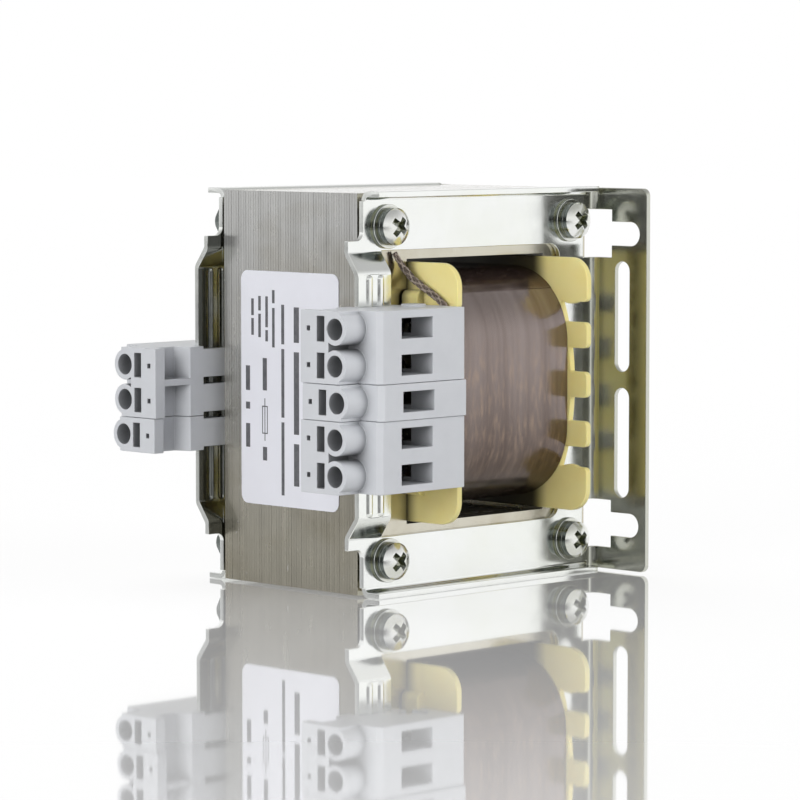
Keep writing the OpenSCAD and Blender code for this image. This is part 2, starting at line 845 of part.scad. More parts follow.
// One module, drawn from its lower end; its poles are pole_pitch apart
module terminal(poles, proud) {
    height = poles * pole_pitch - module_seam;
    pole_v = [for (i = [0 : poles - 1]) (i + 0.5) * pole_pitch - module_seam / 2];
    color("#c4c7ca") difference() {
        union() {
            difference() {
                along_v(0, height) terminal_profile(proud);
                for (i = [1 : 1 : poles - 1])
                    block(
                        [entry_u - cut, entry_p + proud - groove_d, pole_v[i - 1]],
                        [step_u, entry_p + proud + cut, pole_v[i]]
                    );
            }
            for (v = pole_v)
                translate([entry_u, -entry_p - proud, v]) rotate([0, 90, 0])
                    cylinder(d = entry_d, h = entry_l + cut);
            for (ends = [[0, pole_v[0]], [pole_v[poles - 1], height]])
                block(
                    [entry_u, entry_p + proud - cut, ends[0]],
                    [step_u + cut, entry_p + proud + shoulder_h, ends[1]]
                );
            for (i = [1 : 1 : poles - 1])
                block(
                    [plate_u - cut, jaw_p + proud, i * pole_pitch - recess_rib / 2],
                    [recess_u, seat_p + cut, i * pole_pitch + recess_rib / 2]
                );
            translate([pad_u, -pad_p, height - cut]) cylinder(d = pad_d, h = pad_h + cut);
        }
        for (v = pole_v) translate([0, 0, v]) pole_cavities(proud);
        for (i = [0 : poles])
            block(
                [jaw_u + rail_fit, jaw_p - cut, i * pole_pitch - jaw_notch / 2],
                [jaw_u + jaw_l + cut, jaw_p + jaw_t + rail_fit, i * pole_pitch + jaw_notch / 2]
            );
        translate([pad_u, -pad_p, -cut]) cylinder(d = pad_d + 2 * pad_play, h = pad_h + module_seam + cut);
    }
}

// Lower end of a module, in a block of all poles, with some of them below it
function module_v(all, below, middle) = middle - all * pole_pitch / 2 + below * pole_pitch + module_seam / 2;

module primary_terminal_upper() {
    front_side() translate([0, 0, module_v(primary_poles, double + single, 0)]) terminal(double, 0);
}

module primary_terminal_middle() {
    front_side() translate([0, 0, module_v(primary_poles, double, 0)]) terminal(single, single_proud);
}

module primary_terminal_lower() {
    front_side() translate([0, 0, module_v(primary_poles, 0, 0)]) terminal(double, 0);
}

module secondary_terminal_upper() {
    rear_side() translate([0, 0, module_v(secondary_poles, single, -secondary_drop)]) terminal(double, 0);
}

module secondary_terminal_lower() {
    rear_side() translate([0, 0, module_v(secondary_poles, 0, -secondary_drop)])
        terminal(single, single_proud);
}

// Contacts

module contact_bar() {
    block([chamber_u + contact_fit, bar_p, -bar_w / 2], [end_u, bar_p + bar_t, bar_w / 2]);
}

module clip_outline() {
    bend_r = (bar_p - clip_p) / 2;
    clip_start = chamber_u + contact_fit;
    difference() {
        union() {
            translate([clip_end_u, clip_p + bend_r]) circle(bend_r);
            translate([clip_start, clip_p]) square([clip_end_u - clip_start, 2 * bend_r]);
        }
        translate([clip_end_u, clip_p + bend_r]) circle(bend_r - clip_t);
        translate([clip_start - cut, clip_p + clip_t])
            square([clip_end_u - clip_start + cut, 2 * (bend_r - clip_t)]);
    }
}

module at_poles(count, middle) {
    for (i = [0 : count - 1]) translate([0, 0, middle + (i - (count - 1) / 2) * pole_pitch]) children();
}

module primary_contacts() {
    color("#c8a558") front_side() at_poles(primary_poles, 0) contact_bar();
}

module secondary_contacts() {
    color("#c8a558") rear_side() at_poles(secondary_poles, -secondary_drop) contact_bar();
}

module primary_springs() {
    color("#b0b4b6") front_side() at_poles(primary_poles, 0) along_v(-clip_w / 2, clip_w) clip_outline();
}

module secondary_springs() {
    color("#b0b4b6") rear_side() at_poles(secondary_poles, -secondary_drop)
        along_v(-clip_w / 2, clip_w) clip_outline();
}

// Leads

function unit(a) = a / norm(a);

// A share of the way from a to b
function part_way(a, b, share) = a + (b - a) * share;

// How far the finished coil reaches outward at the height v
function coil_p(v) =
    let (past = max(0, abs(v) - (coil_z - coil_r)))
    coil_reach - coil_r + sqrt(coil_r * coil_r - past * past);

function coil_route(notch_v, pole_v) = [
    [flange_u + flange_t + 2 * lead_d, coil_p(notch_v) + lead_r + lead_lift, notch_v],
    [flange_u + flange_t + lead_r, notch_p, notch_v],
    [flange_u + flange_t / 2, notch_p, notch_v],
    [lead_u, lead_p + lead_r, part_way(notch_v, pole_v, 0.2)],
    [lead_u - lead_lift, lead_p + lead_r / 2, part_way(notch_v, pole_v, 0.65)],
    [end_u, lead_p, part_way(notch_v, pole_v, 0.95)],
    [end_u - lead_in, lead_p, pole_v]
];

function earth_route() = concat(
    [for (q = earth_way) [flange_u - q[0], q[1], part_way(window_v, earth_pole, q[2])]],
    [[end_u - lead_in, lead_p, earth_pole]]
);

// A smooth route through the chosen points
function smooth(route) =
    let (n = len(route) - 1)
    concat(
        [for (i = [0 : n - 1], k = [0 : lead_steps - 1])
            let (
                t = k / lead_steps,
                a = route[max(i - 1, 0)],
                b = route[i],
                c = route[i + 1],
                d = route[min(i + 2, n)]
            )
            b + t * (c - a + t * (2 * a - 5 * b + 4 * c - d + t * (3 * b - a - 3 * c + d))) / 2],
        [route[n]]
    );

module lead(route) {
    sides = 8;
    points = [for (q = smooth(route)) [q[0], -q[1], q[2]]];
    n = len(points);
    rings = [for (i = [0 : n - 1])
        let (
            along = unit(points[min(i + 1, n - 1)] - points[max(i - 1, 0)]),
            side = unit(cross(along, [0.3, 0.2, 1])),
            up = cross(side, along)
        )
        for (k = [0 : sides - 1])
            points[i] + lead_r * (cos(360 * k / sides) * side + sin(360 * k / sides) * up)];
    walls = [for (i = [0 : n - 2], k = [0 : sides - 1], half = [0, 1])
        let (
            a = i * sides + k,
            b = i * sides + (k + 1) % sides
        )
        half == 0 ? [a, b, b + sides] : [a, b + sides, a + sides]];
    ends = [
        [for (k = [sides - 1 : -1 : 0]) k],
        [for (k = [0 : sides - 1]) (n - 1) * sides + k]
    ];
    polyhedron(rings, concat(walls, ends));
}

module earth_lead() {
    color("#7d6a5c") front_side() lead(earth_route());
}

module primary_leads() {
    color("#8a4b33") front_side() for (way = primary_ways) lead(coil_route(way[0], way[1]));
}

module secondary_leads() {
    color("#8a4b33") rear_side() for (way = secondary_ways) lead(coil_route(way[0], way[1]));
}

// Label

module rating_label() {
    color("#f2f2f4") translate([core_x, 0, core_z]) rotate([90, 0, -90]) linear_extrude(label_t)
        round_rect(label_w, label_h, label_r);
}

e_laminations();
i_laminations();
bobbin();
primary_winding();
winding_insulation();
secondary_winding();
coil_wrap();
front_bracket();
rear_bracket();
clamp_screws();
front_flat_washers();
front_spring_washers();
rear_flat_washers();
rear_spring_washers();
clamp_nuts();
primary_terminal_upper();
primary_terminal_middle();
primary_terminal_lower();
secondary_terminal_upper();
secondary_terminal_lower();
primary_contacts();
secondary_contacts();
primary_springs();
secondary_springs();
earth_lead();
primary_leads();
secondary_leads();
rating_label();
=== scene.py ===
import bpy
import math
import random
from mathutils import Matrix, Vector


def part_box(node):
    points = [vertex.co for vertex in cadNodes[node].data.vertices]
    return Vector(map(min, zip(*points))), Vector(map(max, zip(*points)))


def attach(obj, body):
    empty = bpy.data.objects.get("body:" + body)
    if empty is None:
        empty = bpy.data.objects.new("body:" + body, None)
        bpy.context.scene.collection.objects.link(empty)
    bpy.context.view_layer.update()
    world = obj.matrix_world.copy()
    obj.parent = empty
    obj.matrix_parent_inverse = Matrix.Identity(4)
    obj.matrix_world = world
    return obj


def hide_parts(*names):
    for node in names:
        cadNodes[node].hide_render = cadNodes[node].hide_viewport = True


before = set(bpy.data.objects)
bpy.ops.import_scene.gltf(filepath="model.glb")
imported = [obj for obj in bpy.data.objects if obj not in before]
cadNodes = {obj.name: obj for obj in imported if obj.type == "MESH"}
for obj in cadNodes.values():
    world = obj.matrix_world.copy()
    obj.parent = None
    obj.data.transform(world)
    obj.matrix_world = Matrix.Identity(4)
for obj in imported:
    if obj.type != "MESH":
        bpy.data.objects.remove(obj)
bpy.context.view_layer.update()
scene = bpy.context.scene
mm = 0.001
print("frame loaded:", len(cadNodes), "nodes")

# camera at the photograph's angle
cameraSet = {
    "place": (-0.5817, -0.5884, 0.1050),
    "target": (0.00533, -0.00055, 0.03846),
    "lens": 172.2,
    "sensor": 36.0,
    "clipStart": 0.01,
}


def makeCamera():
    bpy.ops.object.camera_add(location=cameraSet["place"])
    camera = bpy.context.object
    camera.name = "photoCamera"
    aim = Vector(cameraSet["target"]) - Vector(cameraSet["place"])
    camera.rotation_euler = aim.to_track_quat("-Z", "Y").to_euler()
    camera.data.lens = cameraSet["lens"]
    camera.data.sensor_width = cameraSet["sensor"]
    camera.data.clip_start = cameraSet["clipStart"]
    scene.camera = camera


# small helpers for modelling with operators; angles in degrees
meshSet = {"weld": 0.002 * mm, "flatAngle": 0.5, "easeAngle": 30, "smoothAngle": 40, "normalWeight": 70}


def selectOnly(piece):
    bpy.ops.object.select_all(action="DESELECT")
    piece.select_set(True)
    bpy.context.view_layer.objects.active = piece


def openMesh(piece, kind="FACE"):
    selectOnly(piece)
    bpy.ops.object.mode_set(mode="EDIT")
    bpy.ops.mesh.select_mode(type=kind)
    bpy.ops.mesh.select_all(action="SELECT")


def closeMesh():
    bpy.ops.object.mode_set(mode="OBJECT")


def pickFaces(piece, test):  # selects faces by their middle and normal, and stays in edit mode
    openMesh(piece, "FACE")
    bpy.ops.mesh.select_all(action="DESELECT")
    closeMesh()
    for face in piece.data.polygons:
        face.select = test(face.center, face.normal)
    bpy.ops.object.mode_set(mode="EDIT")


def pickEdges(piece, test):  # selects edges by their two ends, and stays in edit mode
    openMesh(piece, "EDGE")
    bpy.ops.mesh.select_all(action="DESELECT")
    closeMesh()
    points = piece.data.vertices
    for edge in piece.data.edges:
        edge.select = test(points[edge.vertices[0]].co, points[edge.vertices[1]].co)
    bpy.ops.object.mode_set(mode="EDIT")


def turnOutward(piece):
    openMesh(piece)
    bpy.ops.mesh.normals_make_consistent(inside=False)
    closeMesh()


def addShape(add, **settings):  # runs an operator that adds one object
    bpy.ops.object.select_all(action="DESELECT")
    add(**settings)
    return bpy.context.object


def addModifier(piece, kind, **settings):
    modifier = piece.modifiers.new(kind.lower(), kind)
    for key, value in settings.items():
        setattr(modifier, key, value)
    selectOnly(piece)
    bpy.ops.object.modifier_apply(modifier=modifier.name)


def easeEdges(piece, width, degrees, segments=2, **settings):
    addModifier(piece, "BEVEL", width=width, segments=segments, limit_method="ANGLE",
                angle_limit=math.radians(degrees), **settings)


def smoothByAngle(piece, degrees):
    selectOnly(piece)
    bpy.ops.object.shade_smooth_by_angle(angle=math.radians(degrees))


def applyPlace(piece):
    selectOnly(piece)
    bpy.ops.object.transform_apply(location=True, rotation=True, scale=True)


def copyPiece(piece, shift=(0, 0, 0)):
    twin = piece.copy()
    twin.data = piece.data.copy()
    scene.collection.objects.link(twin)
    twin.location = Vector(twin.location) + Vector(shift)
    return twin


def joinPieces(pieces):
    bpy.ops.object.select_all(action="DESELECT")
    for piece in pieces:
        piece.select_set(True)
    bpy.context.view_layer.objects.active = pieces[0]
    bpy.ops.object.join()
    return pieces[0]


def settle(piece, name, material, slotName, *replaced):
    applyPlace(piece)
    piece.name = name
    piece.data.name = name
    piece.data.materials.clear()
    piece.data.materials.append(material)
    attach(piece, "root")
    if replaced:
        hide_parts(*replaced)
    print("made", name, len(piece.data.polygons), "faces")


def copyNode(nodeName, wholeFaces=True):  # a merged copy of a solid, free of its body
    piece = cadNodes[nodeName].copy()
    piece.data = cadNodes[nodeName].data.copy()
    piece.parent = None
    for key in list(piece.keys()):
        del piece[key]
    scene.collection.objects.link(piece)
    openMesh(piece)
    bpy.ops.mesh.remove_doubles(threshold=meshSet["weld"])
    if wholeFaces:
        bpy.ops.mesh.dissolve_limited(angle_limit=math.radians(meshSet["flatAngle"]))
    closeMesh()
    return piece


def softCopy(nodeName, name, material, slotName, edge, steps):
    piece = copyNode(nodeName)
    easeEdges(piece, edge, meshSet["easeAngle"], steps, use_clamp_overlap=False)
    smoothByAngle(piece, meshSet["smoothAngle"])
    addModifier(piece, "WEIGHTED_NORMAL", weight=meshSet["normalWeight"], keep_sharp=True)
    settle(piece, name, material, slotName, nodeName)


# shader parts
def addNode(tree, kind, **settings):
    node = tree.nodes.new(kind)
    for key, value in settings.items():
        setattr(node, key, value)
    return node


def setInputs(node, **values):
    for key, value in values.items():
        node.inputs[key].default_value = value


def wire(tree, *pairs):
    for first, second in pairs:
        tree.links.new(first, second)


def feed(tree, socket, value):  # a link from another socket, or else a plain value
    if hasattr(value, "links"):
        tree.links.new(value, socket)
    else:
        socket.default_value = value


def newGroup(name, inputs, outputs):
    group = bpy.data.node_groups.new(name, "ShaderNodeTree")
    for socketName, kind, default in inputs:
        socket = group.interface.new_socket(name=socketName, in_out="INPUT", socket_type=kind)
        socket.default_value = default
    for socketName, kind in outputs:
        group.interface.new_socket(name=socketName, in_out="OUTPUT", socket_type=kind)
    return group, addNode(group, "NodeGroupInput"), addNode(group, "NodeGroupOutput")


def stretchedNoise(group, start, detail, roughness):
    place = addNode(group, "ShaderNodeTexCoord")
    stretch = addNode(group, "ShaderNodeVectorMath", operation="MULTIPLY")
    noise = addNode(group, "ShaderNodeTexNoise")
    setInputs(noise, Detail=detail, Roughness=roughness)
    wire(group,
         (place.outputs["Object"], stretch.inputs[0]),
         (start.outputs["Stretch"], stretch.inputs[1]),
         (stretch.outputs[0], noise.inputs["Vector"]),
         (start.outputs["Scale"], noise.inputs["Scale"]))
    return noise.outputs["Fac"]


def makePatchTone():  # two colours in soft patches
    group, start, end = newGroup(
        "patchTone",
        (("Light", "NodeSocketColor", (1, 1, 1, 1)), ("Dark", "NodeSocketColor", (0, 0, 0, 1)),
         ("Scale", "NodeSocketFloat", 100.0), ("Stretch", "NodeSocketVector", (1, 1, 1)),
         ("Low", "NodeSocketFloat", 0.4), ("High", "NodeSocketFloat", 0.6)),
        (("Color", "NodeSocketColor"), ("Mask", "NodeSocketFloat")))
    spread = addNode(group, "ShaderNodeMapRange")
    blend = addNode(group, "ShaderNodeMix", data_type="RGBA")
    wire(group,
         (stretchedNoise(group, start, 4.0, 0.55), spread.inputs["Value"]),
         (start.outputs["Low"], spread.inputs["From Min"]),
         (start.outputs["High"], spread.inputs["From Max"]),
         (spread.outputs["Result"], blend.inputs["Factor"]),
         (start.outputs["Light"], blend.inputs["A"]),
         (start.outputs["Dark"], blend.inputs["B"]),
         (blend.outputs["Result"], end.inputs["Color"]),
         (spread.outputs["Result"], end.inputs["Mask"]))
    return group


def makeFineGrain():  # a height for bumps, stretched to suit
    group, start, end = newGroup(
        "fineGrain",
        (("Scale", "NodeSocketFloat", 1000.0), ("Stretch", "NodeSocketVector", (1, 1, 1))),
        (("Height", "NodeSocketFloat"),))
    wire(group, (stretchedNoise(group, start, 3.0, 0.6), end.inputs["Height"]))
    return group


def makeHeightFade():  # runs from 0 low down to 1 high up
    group, start, end = newGroup(
        "heightFade",
        (("Low", "NodeSocketFloat", 0.0), ("High", "NodeSocketFloat", 0.085)),
        (("Fade", "NodeSocketFloat"),))
    place = addNode(group, "ShaderNodeTexCoord")
    split = addNode(group, "ShaderNodeSeparateXYZ")
    spread = addNode(group, "ShaderNodeMapRange", interpolation_type="SMOOTHSTEP")
    wire(group,
         (place.outputs["Object"], split.inputs[0]),
         (split.outputs["Z"], spread.inputs["Value"]),
         (start.outputs["Low"], spread.inputs["From Min"]),
         (start.outputs["High"], spread.inputs["From Max"]),
         (spread.outputs["Result"], end.inputs["Fade"]))
    return group


patchTone = makePatchTone()
fineGrain = makeFineGrain()
heightFade = makeHeightFade()
print("shader groups made")


def newMaterial(name, **sockets):
    material = bpy.data.materials.new(name)
    material.use_nodes = True
    tree = material.node_tree
    skin = tree.nodes["Principled BSDF"]
    for key, value in sockets.items():
        skin.inputs[key.replace("_", " ")].default_value = value
    return material, tree, skin


def useGroup(tree, group, **values):
    node = addNode(tree, "ShaderNodeGroup", node_tree=group)
    setInputs(node, **values)
    return node


def addMath(tree, way, first, second):
    node = addNode(tree, "ShaderNodeMath", operation=way)
    for socket, value in zip(node.inputs, (first, second)):
        feed(tree, socket, value)
    return node.outputs[0]


def absolute(tree, value):
    return addMath(tree, "ABSOLUTE", value, 0.0)


def spreadMask(tree, mask, low, high):
    spread = addNode(tree, "ShaderNodeMapRange")
    setInputs(spread, **{"To Min": low, "To Max": high})
    tree.links.new(mask, spread.inputs["Value"])
    return spread.outputs["Result"]


def smoothSpread(tree, value, low, high, top=1.0):
    spread = addNode(tree, "ShaderNodeMapRange", interpolation_type="SMOOTHSTEP")
    setInputs(spread, **{"From Min": low, "From Max": high, "To Max": top})
    tree.links.new(value, spread.inputs["Value"])
    return spread.outputs["Result"]


def mixColors(tree, mask, first, second, way="MIX"):
    blend = addNode(tree, "ShaderNodeMix", data_type="RGBA", blend_type=way)
    for key, value in (("Factor", mask), ("A", first), ("B", second)):
        feed(tree, blend.inputs[key], value)
    return blend.outputs["Result"]


def splitSocket(tree, socket):
    split = addNode(tree, "ShaderNodeSeparateXYZ")
    tree.links.new(socket, split.inputs[0])
    return split.outputs


def splitPlace(tree):  # the object's own coordinates and normal, each as X, Y and Z
    place = addNode(tree, "ShaderNodeTexCoord")
    return splitSocket(tree, place.outputs["Object"]), splitSocket(tree, place.outputs["Normal"])


def shelterOf(tree, reach, onlyLocal=False):  # from 0 in tight places to 1 in the open
    shelter = addNode(tree, "ShaderNodeAmbientOcclusion", only_local=onlyLocal, samples=8)
    shelter.inputs["Distance"].default_value = reach
    return shelter.outputs["AO"]


def fadeOf(tree, low, high):
    return useGroup(tree, heightFade, Low=low, High=high).outputs["Fade"]


def cloudSpread(tree, scale, low, high, stretch=(1, 1, 1)):
    cloud = useGroup(tree, patchTone, Scale=scale, Stretch=stretch, Low=0.3, High=0.7)
    return spreadMask(tree, cloud.outputs["Mask"], low, high)


def grainBump(tree, skin, scale, strength, depth, stretch=(1, 1, 1)):
    grain = useGroup(tree, fineGrain, Scale=scale, Stretch=stretch)
    bump = addNode(tree, "ShaderNodeBump")
    setInputs(bump, Strength=strength, Distance=depth)
    wire(tree, (grain.outputs["Height"], bump.inputs["Height"]), (bump.outputs["Normal"], skin.inputs["Normal"]))


# a cloud is its scale, least and most roughness and stretch, and a grain its scale, strength, depth and stretch

# zinc plated sheet and hardware: bright, with faint yellow-green passivation
# the feet's colour and the inner side's colour below are painted shade
zincSet = {
    "bright": (0.93, 0.945, 0.93, 1), "tint": (0.885, 0.905, 0.85, 1), "patch": 45.0, "patchEdge": (0.42, 0.72),
    "cloud": (270.0, 0.11, 0.20), "grain": (60.0, 0.06, 0.0004),
    "shadeTone": (0.61, 0.62, 0.555, 1), "footFacing": (0.25, 0.70), "footStart": (0.024, 0.027),
    "footBend": (0.0400, 0.0412),
    "inner": (0.26, 0.27, 0.25, 1), "inward": (0.006, 0.018), "lips": (0.0385, 0.0395), "middle": 0.0424,
}
# the side colour and the recess colour below are painted shade
hardwareSet = {
    "bright": (0.86, 0.87, 0.85, 1), "tint": (0.76, 0.77, 0.69, 1), "patch": 220.0,
    "cloud": (1320.0, 0.14, 0.24), "shadeTone": (0.17, 0.19, 0.18, 1), "faces": (0.35, 0.75),
    "recess": (0.30, 0.31, 0.20, 1), "recessReach": 1.6 * mm, "recessOpen": (0.30, 0.80),
}


def startZinc(name, look):
    material, tree, skin = newMaterial(name, Metallic=1.0)
    low, high = zincSet["patchEdge"]
    tone = useGroup(tree, patchTone, Light=look["bright"], Dark=look["tint"], Scale=look["patch"], Low=low, High=high)
    tree.links.new(cloudSpread(tree, *look["cloud"]), skin.inputs["Roughness"])
    grainBump(tree, skin, *zincSet["grain"])
    return material, tree, skin, tone.outputs["Color"]


def makeZincSheet():
    material, tree, skin, base = startZinc("zincSheet", zincSet)
    spot, facing = splitPlace(tree)
    # painted shade and reflection: darker on the turned-out feet and on the inner side apart from the lips, where the
    # sheet mirrors dark surroundings
    sideways = smoothSpread(tree, absolute(tree, facing["X"]), *zincSet["footFacing"])
    foot = addMath(tree, "MULTIPLY", sideways, smoothSpread(tree, spot["X"], *zincSet["footStart"]))
    foot = addMath(tree, "MAXIMUM", foot, smoothSpread(tree, spot["X"], *zincSet["footBend"]))
    base = mixColors(tree, foot, base, zincSet["shadeTone"])
    inward = addMath(tree, "MULTIPLY", addMath(tree, "MULTIPLY", spot["Y"], facing["Y"]), -1.0)
    inward = smoothSpread(tree, inward, *zincSet["inward"])
    offMiddle = absolute(tree, addMath(tree, "SUBTRACT", spot["Z"], zincSet["middle"]))
    inward = addMath(tree, "SUBTRACT", inward, smoothSpread(tree, offMiddle, *zincSet["lips"]))
    base = mixColors(tree, addMath(tree, "MAXIMUM", inward, 0.0), base, zincSet["inner"])
    tree.links.new(base, skin.inputs["Base Color"])
    return material


def makeZincHardware():
    material, tree, skin, base = startZinc("zincHardware", hardwareSet)
    facing = splitPlace(tree)[1]
    # painted shade: the round sides are darker than the faces, and the cross and the place under the head are
    # darkened too
    faces = smoothSpread(tree, absolute(tree, facing["Y"]), *hardwareSet["faces"])
    base = mixColors(tree, faces, hardwareSet["shadeTone"], base)
    openness = smoothSpread(tree, shelterOf(tree, hardwareSet["recessReach"]), *hardwareSet["recessOpen"])
    base = mixColors(tree, openness, hardwareSet["recess"], base)
    tree.links.new(base, skin.inputs["Base Color"])
    return material


zincSheet = makeZincSheet()
zincHardware = makeZincHardware()

# core steel: sheet edges, grey above and olive brown below, the downward darkening a painted shade
coreSet = {
    "high": (0.58, 0.58, 0.565, 1), "low": (0.41, 0.385, 0.31, 1), "fade": (0.0, 0.075),
    "pitch": 0.7736 * mm, "sheetTone": (0.95, 1.045), "edgeMetal": 0.7, "coat": 0.9, "coatRough": 0.08,
    "stain": (0.80, 0.77, 0.70, 1), "stainScale": 60.0, "stainStretch": (1, 0.5, 1),
    "scuff": (0.78, 0.77, 0.73, 1), "scuffScale": 900.0, "scuffStretch": (1, 1, 0.5),
    "cloud": (300.0, 0.17, 0.30, (1, 1, 0.3)), "grain": (1500.0, 0.25, 0.00005, (1, 1, 0.15)),
    "flat": (0.64, 0.61, 0.51, 1), "flatRough": 0.20, "facing": 0.7, "top": (0.72, 0.72, 0.70, 1), "topZ": 80 * mm,
}


def makeCoreSteel():
    material, tree, skin = newMaterial("coreSteel", Coat_Weight=coreSet["coat"], Coat_Roughness=coreSet["coatRough"])
    # painted shade: darker and browner towards the bottom
    base = mixColors(tree, fadeOf(tree, *coreSet["fade"]), coreSet["low"], coreSet["high"])
    spot, facing = splitPlace(tree)
    # every sheet has its own tone
    sheet = addMath(tree, "ADD", addMath(tree, "DIVIDE", spot["Y"], coreSet["pitch"]), 0.5)
    draw = addNode(tree, "ShaderNodeTexWhiteNoise", noise_dimensions="1D")
    tree.links.new(addMath(tree, "FLOOR", sheet, 0.0), draw.inputs["W"])
    tone = spreadMask(tree, draw.outputs["Value"], *coreSet["sheetTone"])
    eachSheet = addNode(tree, "ShaderNodeCombineColor")
    for channel in ("Red", "Green", "Blue"):
        tree.links.new(tone, eachSheet.inputs[channel])
    base = mixColors(tree, 1.0, base, eachSheet.outputs[0], "MULTIPLY")
    stain = useGroup(tree, patchTone, Light=(1, 1, 1, 1), Dark=coreSet["stain"], Scale=coreSet["stainScale"],
                     Stretch=coreSet["stainStretch"], Low=0.45, High=0.7)
    base = mixColors(tree, 1.0, base, stain.outputs["Color"], "MULTIPLY")
    scuff = useGroup(tree, patchTone, Scale=coreSet["scuffScale"], Stretch=coreSet["scuffStretch"],
                     Low=0.70, High=0.74)
    base = mixColors(tree, scuff.outputs["Mask"], base, coreSet["scuff"])
    # the rolled faces of the end sheets are smoother than the cut edges, and so is the top of the stack, which also
    # gets a lighter colour as a painted highlight
    flat = addMath(tree, "GREATER_THAN", absolute(tree, facing["Y"]), coreSet["facing"])
    rolled = mixColors(tree, 1.0, coreSet["flat"], stain.outputs["Color"], "MULTIPLY")
    top = addMath(tree, "MULTIPLY", addMath(tree, "GREATER_THAN", facing["Z"], coreSet["facing"]),
                  addMath(tree, "GREATER_THAN", spot["Z"], coreSet["topZ"]))
    rolled = mixColors(tree, top, rolled, mixColors(tree, 1.0, coreSet["top"], eachSheet.outputs[0], "MULTIPLY"))
    polished = addMath(tree, "MAXIMUM", flat, top)
    tree.links.new(mixColors(tree, polished, base, rolled), skin.inputs["Base Color"])
    rough = addNode(tree, "ShaderNodeMix", data_type="FLOAT")
    edgeRough = cloudSpread(tree, *coreSet["cloud"])
    for key, value in (("Factor", polished), ("A", edgeRough), ("B", coreSet["flatRough"])):
        feed(tree, rough.inputs[key], value)
    tree.links.new(rough.outputs["Result"], skin.inputs["Roughness"])
    tree.links.new(spreadMask(tree, flat, coreSet["edgeMetal"], 1.0), skin.inputs["Metallic"])
    grainBump(tree, skin, *coreSet["grain"])
    return material


coreSteel = makeCoreSteel()

# moulded bobbin: pale yellow, slightly see-through
bobbinSet = {
    "pale": (0.91, 0.81, 0.37, 1), "deep": (0.86, 0.74, 0.29, 1), "patch": 90.0,
    "shaded": (0.05, 0.042, 0.020, 1), "outside": (0.0195, 0.0245), "shelter": 9 * mm, "open": (0.08, 0.32),
    "cloud": (260.0, 0.32, 0.46), "grain": (900.0, 0.10, 0.00006),
}


def makeBobbinPlastic():
    material, tree, skin = newMaterial("bobbinPlastic", IOR=1.5, Subsurface_Weight=0.25, Subsurface_Scale=0.0012,
                                       Subsurface_Radius=(1.0, 0.8, 0.35))
    tone = useGroup(tree, patchTone, Light=bobbinSet["pale"], Dark=bobbinSet["deep"], Scale=bobbinSet["patch"],
                    Low=0.35, High=0.7)
    # painted shade: dark inside the core window and in the tight places
    spot = splitPlace(tree)[0]
    outside = smoothSpread(tree, absolute(tree, spot["Y"]), *bobbinSet["outside"])
    openness = smoothSpread(tree, shelterOf(tree, bobbinSet["shelter"]), *bobbinSet["open"])
    unshaded = addMath(tree, "MULTIPLY", outside, openness)
    tree.links.new(mixColors(tree, unshaded, bobbinSet["shaded"], tone.outputs["Color"]), skin.inputs["Base Color"])
    tree.links.new(cloudSpread(tree, *bobbinSet["cloud"]), skin.inputs["Roughness"])
    grainBump(tree, skin, *bobbinSet["grain"])
    return material


bobbinPlastic = makeBobbinPlastic()

# terminal plastic: light blue-grey with a fine moulded grain, with painted shade in the creases and inside the
# openings
terminalSet = {
    "pale": (0.63, 0.645, 0.675, 1), "deep": (0.60, 0.615, 0.645, 1), "patch": 160.0, "shelter": 5 * mm,
    "caveShade": (0.19, 0.195, 0.205, 1), "caveOpen": (0.22, 0.58),
    "creaseShade": (0.37, 0.38, 0.40, 1), "creaseOpen": (0.45, 0.92),
    "cloud": (700.0, 0.38, 0.52), "grain": (4200.0, 0.10, 0.00004),
}


def makeTerminalPlastic():
    material, tree, skin = newMaterial("terminalPlastic", IOR=1.48)
    tone = useGroup(tree, patchTone, Light=terminalSet["pale"], Dark=terminalSet["deep"], Scale=terminalSet["patch"],
                    Low=0.35, High=0.7)
    # painted shade: darker where a spot is sheltered, in the creases and deep inside the openings
    shelter = shelterOf(tree, terminalSet["shelter"], onlyLocal=True)
    creaseOpen = smoothSpread(tree, shelter, *terminalSet["creaseOpen"])
    base = mixColors(tree, creaseOpen, terminalSet["creaseShade"], tone.outputs["Color"])
    caveOpen = smoothSpread(tree, shelter, *terminalSet["caveOpen"])
    tree.links.new(mixColors(tree, caveOpen, terminalSet["caveShade"], base), skin.inputs["Base Color"])
    tree.links.new(cloudSpread(tree, *terminalSet["cloud"]), skin.inputs["Roughness"])
    grainBump(tree, skin, *terminalSet["grain"])
    return material


terminalPlastic = makeTerminalPlastic()

# coil tape: glossy brown film over the copper turns
tapeLook = {
    "film": (0.29, 0.24, 0.225, 1), "turn": (0.21, 0.165, 0.15, 1), "turnScale": 420.0,
    "turnStretch": (1, 0.03, 0.03),
    "lowShade": (0.36, 0.30, 0.25, 1), "poolFade": (0.018, 0.050), "lap": (0.50, 0.40, 0.37, 1),
    "lapFade": (0.0626, 0.0638), "fleck": (0.46, 0.33, 0.235, 1), "fleckShare": 0.36, "fleckScale": 1100.0,
    "fleckStretch": (1, 0.25, 0.25), "fleckTop": (0.056, 0.046), "fleckFoot": (0.018, 0.032),
    "cloud": (130.0, 0.17, 0.25, (1, 0.3, 0.3)), "grain": (900.0, 0.05, 0.00008, (1, 0.02, 0.02)),
}


